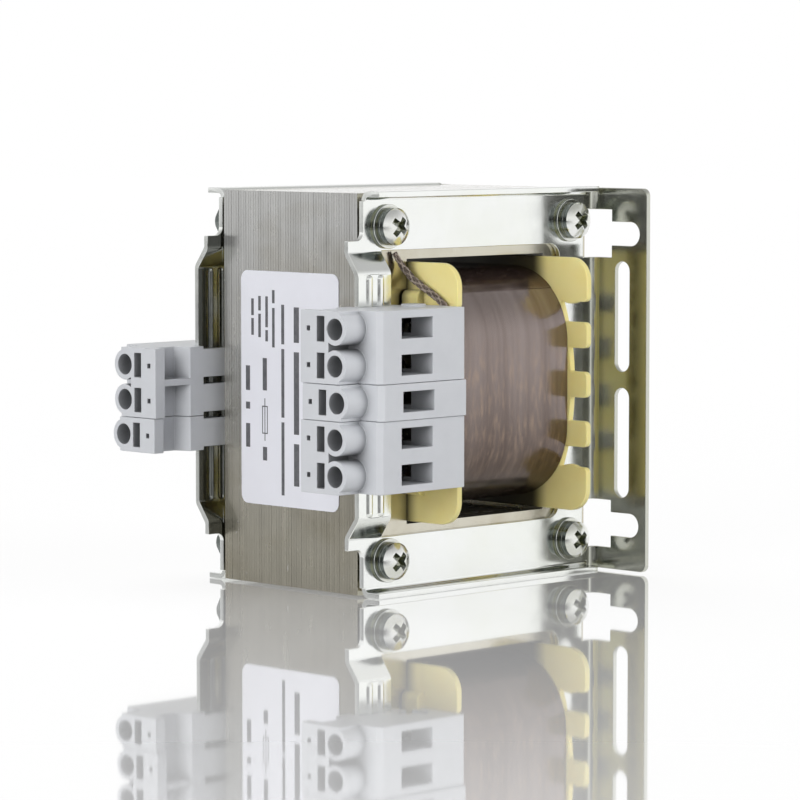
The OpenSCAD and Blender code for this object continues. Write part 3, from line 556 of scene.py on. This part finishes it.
def makeCoilTape():
    material, tree, skin = newMaterial("coilTape", Metallic=0.8, Coat_Weight=0.15, Coat_Roughness=0.12)
    turns = useGroup(tree, patchTone, Light=tapeLook["film"], Dark=tapeLook["turn"], Scale=tapeLook["turnScale"],
                     Stretch=tapeLook["turnStretch"], Low=0.35, High=0.7)
    # painted shade: darker towards the bottom of the coil
    shade = mixColors(tree, fadeOf(tree, *tapeLook["poolFade"]), tapeLook["lowShade"], (1, 1, 1, 1))
    base = mixColors(tree, 1.0, turns.outputs["Color"], shade, "MULTIPLY")
    # copper glints through the film in the middle, and the last lap is darker
    glint = useGroup(tree, patchTone, Scale=tapeLook["fleckScale"], Stretch=tapeLook["fleckStretch"],
                     Low=0.48, High=0.72)
    inside = addMath(tree, "MULTIPLY", fadeOf(tree, *tapeLook["fleckTop"]), fadeOf(tree, *tapeLook["fleckFoot"]))
    inside = addMath(tree, "MULTIPLY", glint.outputs["Mask"], inside)
    inside = addMath(tree, "MULTIPLY", inside, tapeLook["fleckShare"])
    base = mixColors(tree, inside, base, tapeLook["fleck"])
    lap = mixColors(tree, fadeOf(tree, *tapeLook["lapFade"]), (1, 1, 1, 1), tapeLook["lap"])
    tree.links.new(mixColors(tree, 1.0, base, lap, "MULTIPLY"), skin.inputs["Base Color"])
    tree.links.new(cloudSpread(tree, *tapeLook["cloud"]), skin.inputs["Roughness"])
    grainBump(tree, skin, *tapeLook["grain"])
    return material


coilTape = makeCoilTape()

# smaller finishes: a toned colour, a clouded roughness and a grain
finishBump = 0.3
finishSet = (
    # name, light and dark, scale and stretch of the patches, roughness, scale and depth of the grain, other sockets
    ("copperWire", (0.72, 0.36, 0.20, 1), (0.52, 0.22, 0.10, 1), 900.0, (1, 0.03, 0.03),
     (0.22, 0.36), 1800.0, 0.0001, {"Metallic": 1.0}),
    ("insulationFilm", (0.66, 0.58, 0.36, 1), (0.58, 0.50, 0.30, 1), 200.0, (1, 1, 1),
     (0.3, 0.45), 600.0, 0.00005, {"IOR": 1.5}),
    ("contactBrass", (0.72, 0.70, 0.64, 1), (0.60, 0.57, 0.49, 1), 300.0, (1, 1, 1),
     (0.2, 0.36), 1500.0, 0.00003, {"Metallic": 1.0}),
    ("springSteel", (0.62, 0.62, 0.61, 1), (0.48, 0.48, 0.46, 1), 300.0, (1, 1, 0.3),
     (0.2, 0.36), 1500.0, 0.00003, {"Metallic": 1.0}),
    ("leadEnamel", (0.42, 0.17, 0.07, 1), (0.30, 0.11, 0.045, 1), 500.0, (1, 1, 1),
     (0.2, 0.32), 1600.0, 0.00004, {"Metallic": 0.5, "Coat_Weight": 0.5}),
    ("labelFilm", (0.80, 0.805, 0.865, 1), (0.775, 0.78, 0.835, 1), 120.0, (1, 1, 1),
     (0.36, 0.46), 2600.0, 0.00002, {"IOR": 1.45}),
    ("labelInk", (0.09, 0.09, 0.10, 1), (0.14, 0.14, 0.15, 1), 900.0, (1, 1, 1),
     (0.4, 0.55), 3000.0, 0.00002, {"IOR": 1.45}),
)


def makeFinish(name, light, dark, patch, stretch, rough, grainScale, grainDepth, sockets):
    material, tree, skin = newMaterial(name, **sockets)
    tone = useGroup(tree, patchTone, Light=light, Dark=dark, Scale=patch, Stretch=stretch, Low=0.35, High=0.7)
    tree.links.new(tone.outputs["Color"], skin.inputs["Base Color"])
    tree.links.new(spreadMask(tree, tone.outputs["Mask"], *rough), skin.inputs["Roughness"])
    grainBump(tree, skin, grainScale, finishBump, grainDepth, stretch)
    return material


finishes = {row[0]: makeFinish(*row) for row in finishSet}

# braid: every strand keeps the tone it was given
braidLook = {
    "light": (0.44, 0.375, 0.33, 1), "dark": (0.085, 0.064, 0.052, 1), "fuzz": (0.72, 0.68, 0.64, 1),
    "fuzzScale": 3000.0, "rough": (0.55, 0.78), "grain": (6000.0, 0.3, 0.00005),
}


def makeBraidFibre():
    material, tree, skin = newMaterial("braidFibre", IOR=1.45)
    strand = addNode(tree, "ShaderNodeAttribute", attribute_name="strandTone")
    base = mixColors(tree, strand.outputs["Fac"], braidLook["dark"], braidLook["light"])
    fuzz = useGroup(tree, patchTone, Light=(1, 1, 1, 1), Dark=braidLook["fuzz"], Scale=braidLook["fuzzScale"],
                    Low=0.4, High=0.65)
    tree.links.new(mixColors(tree, 1.0, base, fuzz.outputs["Color"], "MULTIPLY"), skin.inputs["Base Color"])
    tree.links.new(spreadMask(tree, fuzz.outputs["Mask"], *braidLook["rough"]), skin.inputs["Roughness"])
    grainBump(tree, skin, *braidLook["grain"])
    return material


braidFibre = makeBraidFibre()
print("materials made")

# plain room, floor and lamps
studioSet = {
    "white": (1, 1, 1, 1), "fill": 0.17, "wallSide": (-0.98, -0.20, 0.0), "wallSpread": (0.05, 0.78),
    "wallDepth": 0.92, "wallTop": (0.22, 0.40), "ceilingSpread": (0.12, 0.75), "ceilingDim": 0.50,
    "floorSize": 6.0, "floorDrop": 0.05 * mm, "floorColor": (0.54, 0.54, 0.54, 1), "floorLift": 0.52,
    "floorRough": 0.03, "floorGloss": 1.55, "floorIor": 1.5, "aim": (0, 0, 0.04),
    "lamps": (
        ("keyLamp", (0.45, -1.05, 0.42), 1.0, 8.2),
        ("leftLamp", (-1.08, -0.25, 0.22), 0.9, 10.4),
        ("topLamp", (0.10, 0.55, 1.05), 1.1, 7.5),
    ),
}


def makeWorld():
    world = bpy.data.worlds.new("studioWorld")
    scene.world = world
    world.use_nodes = True
    tree = world.node_tree
    tree.nodes.clear()
    path = addNode(tree, "ShaderNodeLightPath").outputs
    # metal mirrors a white room with a dim ceiling and a darker left wall
    place = addNode(tree, "ShaderNodeTexCoord")
    toward = addNode(tree, "ShaderNodeVectorMath", operation="DOT_PRODUCT")
    toward.inputs[1].default_value = studioSet["wallSide"]
    tree.links.new(place.outputs["Generated"], toward.inputs[0])
    height = splitSocket(tree, place.outputs["Generated"])["Z"]
    wall = smoothSpread(tree, toward.outputs["Value"], *studioSet["wallSpread"], studioSet["wallDepth"])
    above = smoothSpread(tree, height, *studioSet["wallTop"])
    wall = addMath(tree, "MULTIPLY", wall, addMath(tree, "SUBTRACT", 1.0, above))
    # the wall shows only in a second mirror, so the floor stays white from every side
    wall = addMath(tree, "MULTIPLY", wall, addMath(tree, "GREATER_THAN", path["Glossy Depth"], 1.5))
    ceiling = smoothSpread(tree, height, *studioSet["ceilingSpread"], studioSet["ceilingDim"])
    room = addMath(tree, "MULTIPLY", addMath(tree, "SUBTRACT", 1.0, wall), addMath(tree, "SUBTRACT", 1.0, ceiling))
    seen = addNode(tree, "ShaderNodeBackground")
    setInputs(seen, Color=studioSet["white"])
    tree.links.new(addMath(tree, "MAXIMUM", path["Is Camera Ray"], room), seen.inputs["Strength"])
    light = addNode(tree, "ShaderNodeBackground")
    setInputs(light, Color=studioSet["white"], Strength=studioSet["fill"])
    anyRay = addMath(tree, "MAXIMUM", path["Is Camera Ray"], path["Is Glossy Ray"])
    anyRay = addMath(tree, "MAXIMUM", anyRay, path["Is Transmission Ray"])
    blend = addNode(tree, "ShaderNodeMixShader")
    end = addNode(tree, "ShaderNodeOutputWorld")
    wire(tree,
         (anyRay, blend.inputs[0]),
         (light.outputs[0], blend.inputs[1]),
         (seen.outputs[0], blend.inputs[2]),
         (blend.outputs[0], end.inputs["Surface"]))


def makeFloor():
    floor = addShape(bpy.ops.mesh.primitive_plane_add, size=studioSet["floorSize"],
                     location=(0, 0, -studioSet["floorDrop"]))
    floor.name = "studioFloor"
    material = bpy.data.materials.new("floorGloss")
    material.use_nodes = True
    tree = material.node_tree
    tree.nodes.clear()
    path = addNode(tree, "ShaderNodeLightPath").outputs
    paint = addNode(tree, "ShaderNodeBsdfDiffuse")
    setInputs(paint, Color=studioSet["floorColor"])
    lift = addNode(tree, "ShaderNodeEmission")
    seen = addMath(tree, "MAXIMUM", path["Is Camera Ray"], path["Is Glossy Ray"])
    tree.links.new(addMath(tree, "MULTIPLY", seen, studioSet["floorLift"]), lift.inputs["Strength"])
    pale = addNode(tree, "ShaderNodeAddShader")
    gloss = addNode(tree, "ShaderNodeBsdfGlossy")
    setInputs(gloss, Color=studioSet["white"], Roughness=studioSet["floorRough"])
    edge = addNode(tree, "ShaderNodeFresnel")
    setInputs(edge, IOR=studioSet["floorIor"])
    share = addNode(tree, "ShaderNodeMath", operation="MULTIPLY", use_clamp=True)
    share.inputs[1].default_value = studioSet["floorGloss"]
    blend = addNode(tree, "ShaderNodeMixShader")
    end = addNode(tree, "ShaderNodeOutputMaterial")
    wire(tree,
         (paint.outputs[0], pale.inputs[0]),
         (lift.outputs[0], pale.inputs[1]),
         (edge.outputs[0], share.inputs[0]),
         (share.outputs[0], blend.inputs[0]),
         (pale.outputs[0], blend.inputs[1]),
         (gloss.outputs[0], blend.inputs[2]),
         (blend.outputs[0], end.inputs["Surface"]))
    floor.data.materials.append(material)


def makeLamps():
    for name, place, size, power in studioSet["lamps"]:
        lamp = addShape(bpy.ops.object.light_add, type="AREA", location=place)
        lamp.name = name
        lamp.data.shape = "DISK"
        lamp.data.size = size
        lamp.data.energy = power
        aim = Vector(studioSet["aim"]) - Vector(place)
        lamp.rotation_euler = aim.to_track_quat("-Z", "Y").to_euler()
        lamp.visible_glossy = False  # metal and floor mirror the white room instead


makeCamera()
makeWorld()
makeFloor()
makeLamps()
scene.view_settings.view_transform = "Standard"
print("camera, floor and lamps set")

# earth lead: a braided sleeve from under the upper left washer to the middle pole; the route is in mm
sleeveSet = {
    "radius": 0.8 * mm, "endShare": 0.74, "swell": 5.0, "strand": 0.16 * mm, "carriers": 6, "lay": 9.0 * mm,
    "weave": 0.9, "steps": 130, "fine": 24, "weld": 0.001 * mm, "smoothAngle": 60, "seed": 5,
    "darkTones": (0.05, 0.35), "lightTones": (0.65, 1.0),
    "flangeX": -12.8, "plateY": -21.0, "high": 72.4, "low": 57.4, "end": (-16.3, -31.0, 57.4),
    # each point is its distance before the flange, its distance off the plate and its share of the drop
    "way": ((4.7, 0.8, 0.04), (3.3, 1.6, 0.22), (2.3, 3.6, 0.39), (1.5, 6.2, 0.52), (1.1, 9.3, 0.64),
            (1.05, 11.8, 0.76), (1.1, 12.0, 0.87), (1.2, 10.3, 0.98)),
}


def sleeveRoute():
    route = []
    for back, out, share in sleeveSet["way"]:
        height = sleeveSet["high"] + (sleeveSet["low"] - sleeveSet["high"]) * share
        route.append(Vector((sleeveSet["flangeX"] - back, sleeveSet["plateY"] - out, height)))
    route.append(Vector(sleeveSet["end"]))
    return [point * mm for point in route]


def smoothRoute(points, steps):  # passes through every point, evenly stepped
    dense = []
    for i in range(len(points) - 1):
        before = points[max(i - 1, 0)]
        here, there = points[i], points[i + 1]
        after = points[min(i + 2, len(points) - 1)]
        for k in range(sleeveSet["fine"]):
            t = k / sleeveSet["fine"]
            dense.append(0.5 * ((2 * here) + (there - before) * t
                                + (2 * before - 5 * here + 4 * there - after) * t * t
                                + (3 * here - before - 3 * there + after) * t * t * t))
    dense.append(points[-1])
    reach = [0.0]
    for first, second in zip(dense, dense[1:]):
        reach.append(reach[-1] + (second - first).length)
    even, i = [], 0
    for k in range(steps + 1):
        want = reach[-1] * k / steps
        while i < len(reach) - 2 and reach[i + 1] < want:
            i += 1
        share = (want - reach[i]) / max(reach[i + 1] - reach[i], 1e-9)
        even.append(dense[i].lerp(dense[i + 1], share))
    return even, reach[-1]


def addTube(name, points, radius, sides, shares, tone):
    curve = bpy.data.curves.new(name, "CURVE")
    curve.dimensions = "3D"
    curve.bevel_depth = radius
    curve.bevel_resolution = sides
    curve.use_fill_caps = True
    spline = curve.splines.new("POLY")
    spline.points.add(len(points) - 1)
    for spot, point, share in zip(spline.points, points, shares):
        spot.co = (point.x, point.y, point.z, 1)
        spot.radius = share
    tube = bpy.data.objects.new(name, curve)
    scene.collection.objects.link(tube)
    selectOnly(tube)
    bpy.ops.object.convert(target="MESH")
    mesh = bpy.context.object
    openMesh(mesh)
    bpy.ops.mesh.remove_doubles(threshold=sleeveSet["weld"])
    closeMesh()
    tones = mesh.data.attributes.new("strandTone", "FLOAT", "POINT")
    tones.data.foreach_set("value", [tone] * len(mesh.data.vertices))
    return mesh


def makeSleeve():
    middle, length = smoothRoute(sleeveRoute(), sleeveSet["steps"])
    side = Vector((1, 0, 0))
    frames = []
    for i, point in enumerate(middle):
        ahead = (middle[min(i + 1, len(middle) - 1)] - middle[max(i - 1, 0)]).normalized()
        side = (side - ahead * side.dot(ahead)).normalized()
        frames.append((point, side.copy(), ahead.cross(side)))
    laid = sleeveSet["radius"] - 2 * sleeveSet["strand"]
    # the sleeve narrows towards both ends
    shares = []
    for i in range(len(middle)):
        swell = min(1.0, sleeveSet["swell"] * min(i, len(middle) - 1 - i) / len(middle))
        shares.append(sleeveSet["endShare"] + (1 - sleeveSet["endShare"]) * swell)
    draw = random.Random(sleeveSet["seed"])
    tubes = [addTube("sleeveCore", middle, laid - 0.5 * sleeveSet["strand"], 2, shares, 0.0)]
    for way in (1, -1):
        for carrier in range(sleeveSet["carriers"]):
            points = []
            for i, (point, across, up) in enumerate(frames):
                turn = length * i / sleeveSet["steps"] / sleeveSet["lay"]
                angle = 2 * math.pi * (way * turn + carrier / sleeveSet["carriers"])
                weave = math.cos(sleeveSet["carriers"] * 2 * math.pi * turn + math.pi * carrier)
                out = laid + sleeveSet["strand"] * (1 + sleeveSet["weave"] * way * weave) / 2
                points.append(point + shares[i] * out * (math.cos(angle) * across + math.sin(angle) * up))
            tone = draw.uniform(*sleeveSet["darkTones" if carrier % 2 else "lightTones"])
            tubes.append(addTube("strand", points, sleeveSet["strand"], 1, shares, tone))
    sleeve = joinPieces(tubes)
    smoothByAngle(sleeve, sleeveSet["smoothAngle"])
    settle(sleeve, "braidedSleeve", braidFibre, "braided_sleeve", "earth_lead")
    print("sleeve length in mm:", round(length / mm, 1))


makeSleeve()

# core sheets: a slice of each stack, repeated with small shifts
sheetSet = {
    "count": 53, "span": 41.0 * mm, "gap": 0.05 * mm, "cutLow": 0.12 * mm, "shift": 0.02 * mm, "rise": 0.008 * mm,
    "endLow": 20.53 * mm, "endHigh": 20.97 * mm, "cutWeld": 0.0001 * mm, "onCut": 1e-7, "seed": 7,
}


def cutSheet(nodeName, low, high):
    sheet = copyNode(nodeName, wholeFaces=False)
    for level, inner in ((low, True), (high, False)):
        openMesh(sheet, "EDGE")
        bpy.ops.mesh.bisect(plane_co=(0, level, 0), plane_no=(0, 1, 0), clear_inner=inner, clear_outer=not inner,
                            threshold=sheetSet["cutWeld"])
        closeMesh()
    for level in (low, high):
        pickEdges(sheet, lambda a, b: max(abs(a.y - level), abs(b.y - level)) < sheetSet["onCut"])
        bpy.ops.mesh.fill()
        closeMesh()
    turnOutward(sheet)
    return sheet


def makeSheets(nodeName, name, seed):
    draw = random.Random(seed)
    pitch = sheetSet["span"] / sheetSet["count"]
    first = cutSheet(nodeName, sheetSet["cutLow"], sheetSet["cutLow"] + pitch - sheetSet["gap"])
    stack = []
    for k in range(sheetSet["count"]):
        start = -sheetSet["span"] / 2 + k * pitch + sheetSet["gap"] / 2
        shift = (draw.uniform(-1, 1) * sheetSet["shift"], start - sheetSet["cutLow"],
                 draw.uniform(-1, 1) * sheetSet["rise"])
        stack.append(copyPiece(first, shift))
    stack.append(cutSheet(nodeName, sheetSet["endLow"], sheetSet["endHigh"]))
    stack.append(cutSheet(nodeName, -sheetSet["endHigh"], -sheetSet["endLow"]))
    bpy.data.objects.remove(first)
    for sheet in stack:
        applyPlace(sheet)
    settle(joinPieces(stack), name, coreSteel, "core_steel", nodeName)


makeSheets("e_laminations", "coreSheetsE", sheetSet["seed"])
makeSheets("i_laminations", "coreSheetsI", sheetSet["seed"] + 1)

# coil: a taped winding with soft corners and a lapped tape end
coilSet = {
    "around": 192, "along": 76, "corner": 16.0 * mm, "wall": 0.45 * mm, "ripple": 0.006 * mm, "sag": 0.03 * mm,
    "lap": 0.11 * mm, "lapFront": 63.2 * mm, "lapBack": 24.0 * mm, "smoothAngle": 35, "seed": 11,
}


def roundedReach(angle, wide, tall, corner):  # from the middle to a rounded outline
    c, s = abs(math.cos(angle)), abs(math.sin(angle))
    y, z = wide - corner, tall - corner
    if s * wide <= z * c:
        return wide / c
    if c * tall <= y * s:
        return tall / s
    along = c * y + s * z
    return along + math.sqrt(along * along - y * y - z * z + corner * corner)


def makeCoil():
    low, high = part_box("coil_wrap")
    middle = (Vector(low) + Vector(high)) / 2
    half = (Vector(high) - Vector(low)) / 2
    coil = addShape(bpy.ops.mesh.primitive_cylinder_add, vertices=coilSet["around"], radius=1.0, depth=2 * half.x,
                    end_fill_type="NOTHING", location=middle, rotation=(0, math.pi / 2, 0))
    applyPlace(coil)
    pickEdges(coil, lambda a, b: abs(a.x - b.x) > half.x)
    bpy.ops.mesh.subdivide(number_cuts=coilSet["along"])
    closeMesh()
    draw = random.Random(coilSet["seed"])
    columns = {}
    reach = coilSet["lap"] + coilSet["ripple"] + coilSet["sag"]
    for point in coil.data.vertices:
        angle = math.atan2(point.co.z - middle.z, point.co.y - middle.y)
        column = round((point.co.x - low[0]) / mm, 2)
        if column not in columns:
            columns[column] = draw.uniform(-1, 1) * coilSet["ripple"]
        size = roundedReach(angle, half.y - reach, half.z - reach, coilSet["corner"])
        size += columns[column] - coilSet["sag"] * abs(point.co.x - middle.x) / half.x
        point.co.y = middle.y + size * math.cos(angle)
        point.co.z = middle.z + size * math.sin(angle)
    # the last turn of tape lies over the top and down the back
    pickFaces(coil, lambda c, n: c.z > coilSet["lapFront"] or (c.y > 0 and c.z > coilSet["lapBack"]))
    bpy.ops.mesh.extrude_region_shrink_fatten(TRANSFORM_OT_shrink_fatten={"value": coilSet["lap"]})
    closeMesh()
    turnOutward(coil)
    addModifier(coil, "SOLIDIFY", thickness=coilSet["wall"], offset=-1.0)
    smoothByAngle(coil, coilSet["smoothAngle"])
    settle(coil, "tapedCoil", coilTape, "coil_tape", "coil_wrap")


makeCoil()

# clamp screws: pan heads with a cross, plain shanks and threaded tails
screwSet = {
    "headRadius": 3.9 * mm, "headSides": 56, "sideHeight": 1.1 * mm, "domeHeight": 1.36 * mm, "domeSteps": 8,
    "crossLong": 5.3 * mm, "crossWide": 1.6 * mm, "crossDeep": 1.7 * mm, "crossTaper": 0.6, "crossMiddle": 2.3 * mm,
    "crossOver": 0.2 * mm, "headEase": 0.1 * mm, "headEaseAngle": 45, "headWeld": 0.004 * mm, "headSmooth": 35,
    "shank": 1.96 * mm, "shankIn": 0.2 * mm, "shankEase": 0.1 * mm, "rodSides": 32, "rodEaseAngle": 60,
    "root": 1.62 * mm, "coreOver": 0.01 * mm, "coreIn": 1.0 * mm, "coreEase": 0.25 * mm, "threadEnd": 0.1 * mm,
    "pitch": 0.7 * mm, "turns": 8, "crest": (0.42, 0.56), "foot": 0.98, "threadSteps": 28, "threadWeld": 0.001 * mm,
    "smoothAngle": 30, "seatY": -23.9 * mm, "tailY": 28.7 * mm,
    "places": ((-20.1, 7.4), (-20.1, 77.4), (35.9, 7.4), (35.9, 77.4)), "turned": (45, 38, 52, 47),
}


def makeHead():
    wide, rise = screwSet["headRadius"], screwSet["domeHeight"]
    head = addShape(bpy.ops.mesh.primitive_cylinder_add, vertices=screwSet["headSides"], radius=wide,
                    depth=screwSet["sideHeight"], location=(0, 0, screwSet["sideHeight"] / 2))
    applyPlace(head)
    ball = (wide * wide + rise * rise) / (2 * rise)
    top = screwSet["sideHeight"] + rise
    # the dome: the top face drawn in and lifted along a sphere, ring by ring
    pickFaces(head, lambda c, n: n.z > 0.99)
    ring, level = wide, 0.0
    for k in range(1, screwSet["domeSteps"] + 1):
        nextRing = wide * (1 - k / (screwSet["domeSteps"] + 0.5))
        nextLevel = math.sqrt(ball * ball - nextRing * nextRing) - (ball - rise)
        bpy.ops.mesh.inset(thickness=ring - nextRing)
        bpy.ops.transform.translate(value=(0, 0, nextLevel - level))
        ring, level = nextRing, nextLevel
    closeMesh()
    arms = (
        (0, screwSet["crossLong"], screwSet["crossWide"]), (90, screwSet["crossLong"], screwSet["crossWide"]),
        (45, screwSet["crossMiddle"], screwSet["crossMiddle"]),
    )
    for turn, long, wide in arms:
        arm = addShape(bpy.ops.mesh.primitive_cube_add, size=1,
                       location=(0, 0, top - screwSet["crossDeep"] / 2 + screwSet["crossOver"]))
        arm.scale = (long, wide, screwSet["crossDeep"] + 2 * screwSet["crossOver"])
        arm.rotation_euler = (0, 0, math.radians(turn))
        applyPlace(arm)
        pickFaces(arm, lambda c, n: n.z < -0.9)
        bpy.ops.transform.resize(value=(screwSet["crossTaper"],) * 2 + (1,), center_override=(0, 0, 0))
        closeMesh()
        addModifier(head, "BOOLEAN", operation="DIFFERENCE", object=arm, solver="EXACT")
        bpy.data.objects.remove(arm)
    easeEdges(head, screwSet["headEase"], screwSet["headEaseAngle"], use_clamp_overlap=True)
    openMesh(head)
    bpy.ops.mesh.remove_doubles(threshold=screwSet["headWeld"])
    bpy.ops.mesh.dissolve_degenerate(threshold=screwSet["headWeld"])
    closeMesh()
    smoothByAngle(head, screwSet["headSmooth"])
    return head


def makeThread():
    # one pitch of the thread's outline, wound up by the screw modifier
    mesh = bpy.data.meshes.new("threadLine")
    root, outer, pitch = screwSet["root"], screwSet["shank"], screwSet["pitch"]
    low, high = screwSet["crest"]
    line = ((root, 0.0), (outer, low * pitch), (outer, high * pitch), (root, screwSet["foot"] * pitch), (root, pitch))
    mesh.from_pydata([(r, 0, z) for r, z in line], [(i, i + 1) for i in range(len(line) - 1)], [])
    thread = bpy.data.objects.new("threadLine", mesh)
    scene.collection.objects.link(thread)
    addModifier(thread, "SCREW", axis="Z", steps=screwSet["threadSteps"], render_steps=screwSet["threadSteps"],
                iterations=screwSet["turns"], screw_offset=pitch, use_merge_vertices=True,
                merge_threshold=screwSet["threadWeld"])
    openMesh(thread)
    bpy.ops.mesh.remove_doubles(threshold=screwSet["threadWeld"])
    bpy.ops.mesh.fill_holes(sides=0)
    closeMesh()
    turnOutward(thread)
    smoothByAngle(thread, screwSet["smoothAngle"])
    return thread


def makeRod(radius, length, top, edge):
    rod = addShape(bpy.ops.mesh.primitive_cylinder_add, vertices=screwSet["rodSides"], radius=radius, depth=length,
                   location=(0, 0, top - length / 2))
    applyPlace(rod)
    easeEdges(rod, edge, screwSet["rodEaseAngle"])
    smoothByAngle(rod, screwSet["smoothAngle"])
    return rod


def makeScrews():
    tail = screwSet["tailY"] - screwSet["seatY"]  # from the seat to the screw's end
    wound = screwSet["turns"] * screwSet["pitch"]
    thread = makeThread()
    thread.location.z = -tail + screwSet["threadEnd"]
    applyPlace(thread)
    shank = makeRod(screwSet["shank"], tail - wound, screwSet["shankIn"], screwSet["shankEase"])
    core = makeRod(screwSet["root"] + screwSet["coreOver"], wound + screwSet["coreIn"],
                   -tail + wound + screwSet["coreIn"], screwSet["coreEase"])
    screw = joinPieces([makeHead(), thread, shank, core])
    copies = []
    for (x, z), turned in zip(screwSet["places"], screwSet["turned"]):
        one = copyPiece(screw)
        one.rotation_euler = (math.pi / 2, math.radians(turned), 0)
        one.location = (x * mm, screwSet["seatY"], z * mm)
        applyPlace(one)
        copies.append(one)
    bpy.data.objects.remove(screw)
    settle(joinPieces(copies), "panScrews", zincHardware, "zinc_hardware", "clamp_screws")


makeScrews()

# nuts: hexagons with turned corners
nutSet = {"corner": 4.02 * mm, "height": 3.2 * mm, "chamfer": 0.42 * mm, "seatY": 23.9 * mm, "sides": 64,
          "ease": 0.06 * mm, "easeAngle": 25, "smoothAngle": 30}


def makeNuts():
    nuts = copyNode("clamp_nuts")
    rounds = []
    for x, z in screwSet["places"]:
        turned = addShape(bpy.ops.mesh.primitive_cylinder_add, vertices=nutSet["sides"], radius=nutSet["corner"],
                          depth=nutSet["height"], rotation=(math.pi / 2, 0, 0),
                          location=(x * mm, nutSet["seatY"] + nutSet["height"] / 2, z * mm))
        applyPlace(turned)
        pickFaces(turned, lambda c, n: abs(n.y) > 0.9)
        bpy.ops.mesh.region_to_loop()
        bpy.ops.mesh.bevel(offset=nutSet["chamfer"], segments=1, affect="EDGES")
        closeMesh()
        rounds.append(turned)
    turned = joinPieces(rounds)
    addModifier(nuts, "BOOLEAN", operation="INTERSECT", object=turned, solver="EXACT")
    bpy.data.objects.remove(turned)
    easeEdges(nuts, nutSet["ease"], nutSet["easeAngle"])
    smoothByAngle(nuts, nutSet["smoothAngle"])
    settle(nuts, "hexNuts", zincHardware, "zinc_hardware", "clamp_nuts")


makeNuts()

# sheet, plastic and small parts: the solids with their edges eased
easeSet = (
    # finish, slot, edge in mm, its steps, and the solids with the names of their copies
    (zincSheet, "zinc_sheet", 0.13, 2, (("front_bracket", "frontBracket"), ("rear_bracket", "rearBracket"))),
    (bobbinPlastic, "bobbin_plastic", 0.24, 3, (("bobbin", "mouldedBobbin"),)),
    (terminalPlastic, "terminal_plastic", 0.16, 2, (
        ("primary_terminal_upper", "primaryBlockUpper"), ("primary_terminal_middle", "primaryBlockMiddle"),
        ("primary_terminal_lower", "primaryBlockLower"), ("secondary_terminal_upper", "secondaryBlockUpper"),
        ("secondary_terminal_lower", "secondaryBlockLower"))),
    (zincHardware, "zinc_hardware", 0.12, 2, (
        ("front_flat_washers", "frontFlatWashers"), ("rear_flat_washers", "rearFlatWashers"))),
    (zincHardware, "zinc_hardware", 0.10, 2, (
        ("front_spring_washers", "frontSpringWashers"), ("rear_spring_washers", "rearSpringWashers"))),
)
for material, slotName, edge, steps, pairs in easeSet:
    for nodeName, name in pairs:
        softCopy(nodeName, name, material, slotName, edge * mm, steps)

# winding ends: round enamelled wires
leadSet = {"levels": 1, "smoothAngle": 60}


def makeLeads(nodeName, name):
    leads = copyNode(nodeName)
    addModifier(leads, "SUBSURF", levels=leadSet["levels"], render_levels=leadSet["levels"])
    smoothByAngle(leads, leadSet["smoothAngle"])
    settle(leads, name, finishes["leadEnamel"], "lead_enamel", nodeName)


makeLeads("primary_leads", "primaryWireEnds")
makeLeads("secondary_leads", "secondaryWireEnds")

# label print: plain bars and one outlined box, no words; all in mm
printSet = {
    "faceX": -27.25, "proud": 0.012, "lines": (
        # row middle in Y, height of the row, and its bars from high to low in Z
        (11.4, 0.8, ((61.4, 57.8), (57.2, 53.6))),
        (9.2, 0.8, ((62.0, 58.9), (58.2, 53.2))),
        (7.0, 0.8, ((62.0, 55.4), (54.8, 52.4))),
        (4.9, 0.8, ((63.4, 60.6), (59.6, 51.2))),
        (2.0, 0.9, ((60.4, 52.0), (51.0, 36.4), (35.4, 19.8))),
        (7.6, 1.3, ((48.8, 41.9), (29.8, 26.9))),
        (12.9, 1.3, ((47.0, 41.7), (39.2, 37.7), (34.6, 29.5))),
        (-2.2, 1.6, ((60.0, 52.5), (50.5, 33.0), (31.0, 22.0))),
    ),
    "box": (7.6, 1.5, 38.6, 32.6, 0.25), "strike": (7.6, 0.25, 40.2, 31.1),
}


def addBar(y, tall, high, low):
    bar = addShape(bpy.ops.mesh.primitive_cube_add, size=1,
                   location=((printSet["faceX"] - printSet["proud"] / 2) * mm, y * mm, (high + low) / 2 * mm))
    bar.scale = (printSet["proud"] * mm, tall * mm, (high - low) * mm)
    applyPlace(bar)
    return bar


def makePrint():
    bars = []
    for y, tall, runs in printSet["lines"]:
        for high, low in runs:
            bars.append(addBar(y, tall, high, low))
    y, tall, high, low, line = printSet["box"]
    bars.append(addBar(y - tall / 2, line, high, low))
    bars.append(addBar(y + tall / 2, line, high, low))
    bars.append(addBar(y, tall, high, high - line))
    bars.append(addBar(y, tall, low + line, low))
    bars.append(addBar(*printSet["strike"]))
    settle(joinPieces(bars), "labelPrint", finishes["labelInk"], "label_film")


makePrint()

# solids that stay as they are, with their own finishes
for nodeName, finish in (
    ("primary_winding", "copperWire"), ("secondary_winding", "copperWire"), ("winding_insulation", "insulationFilm"),
    ("primary_contacts", "contactBrass"), ("secondary_contacts", "contactBrass"),
    ("primary_springs", "springSteel"), ("secondary_springs", "springSteel"), ("rating_label", "labelFilm"),
):
    cadNodes[nodeName].data.materials.clear()
    cadNodes[nodeName].data.materials.append(finishes[finish])
print("finishes set on the solids that stay")
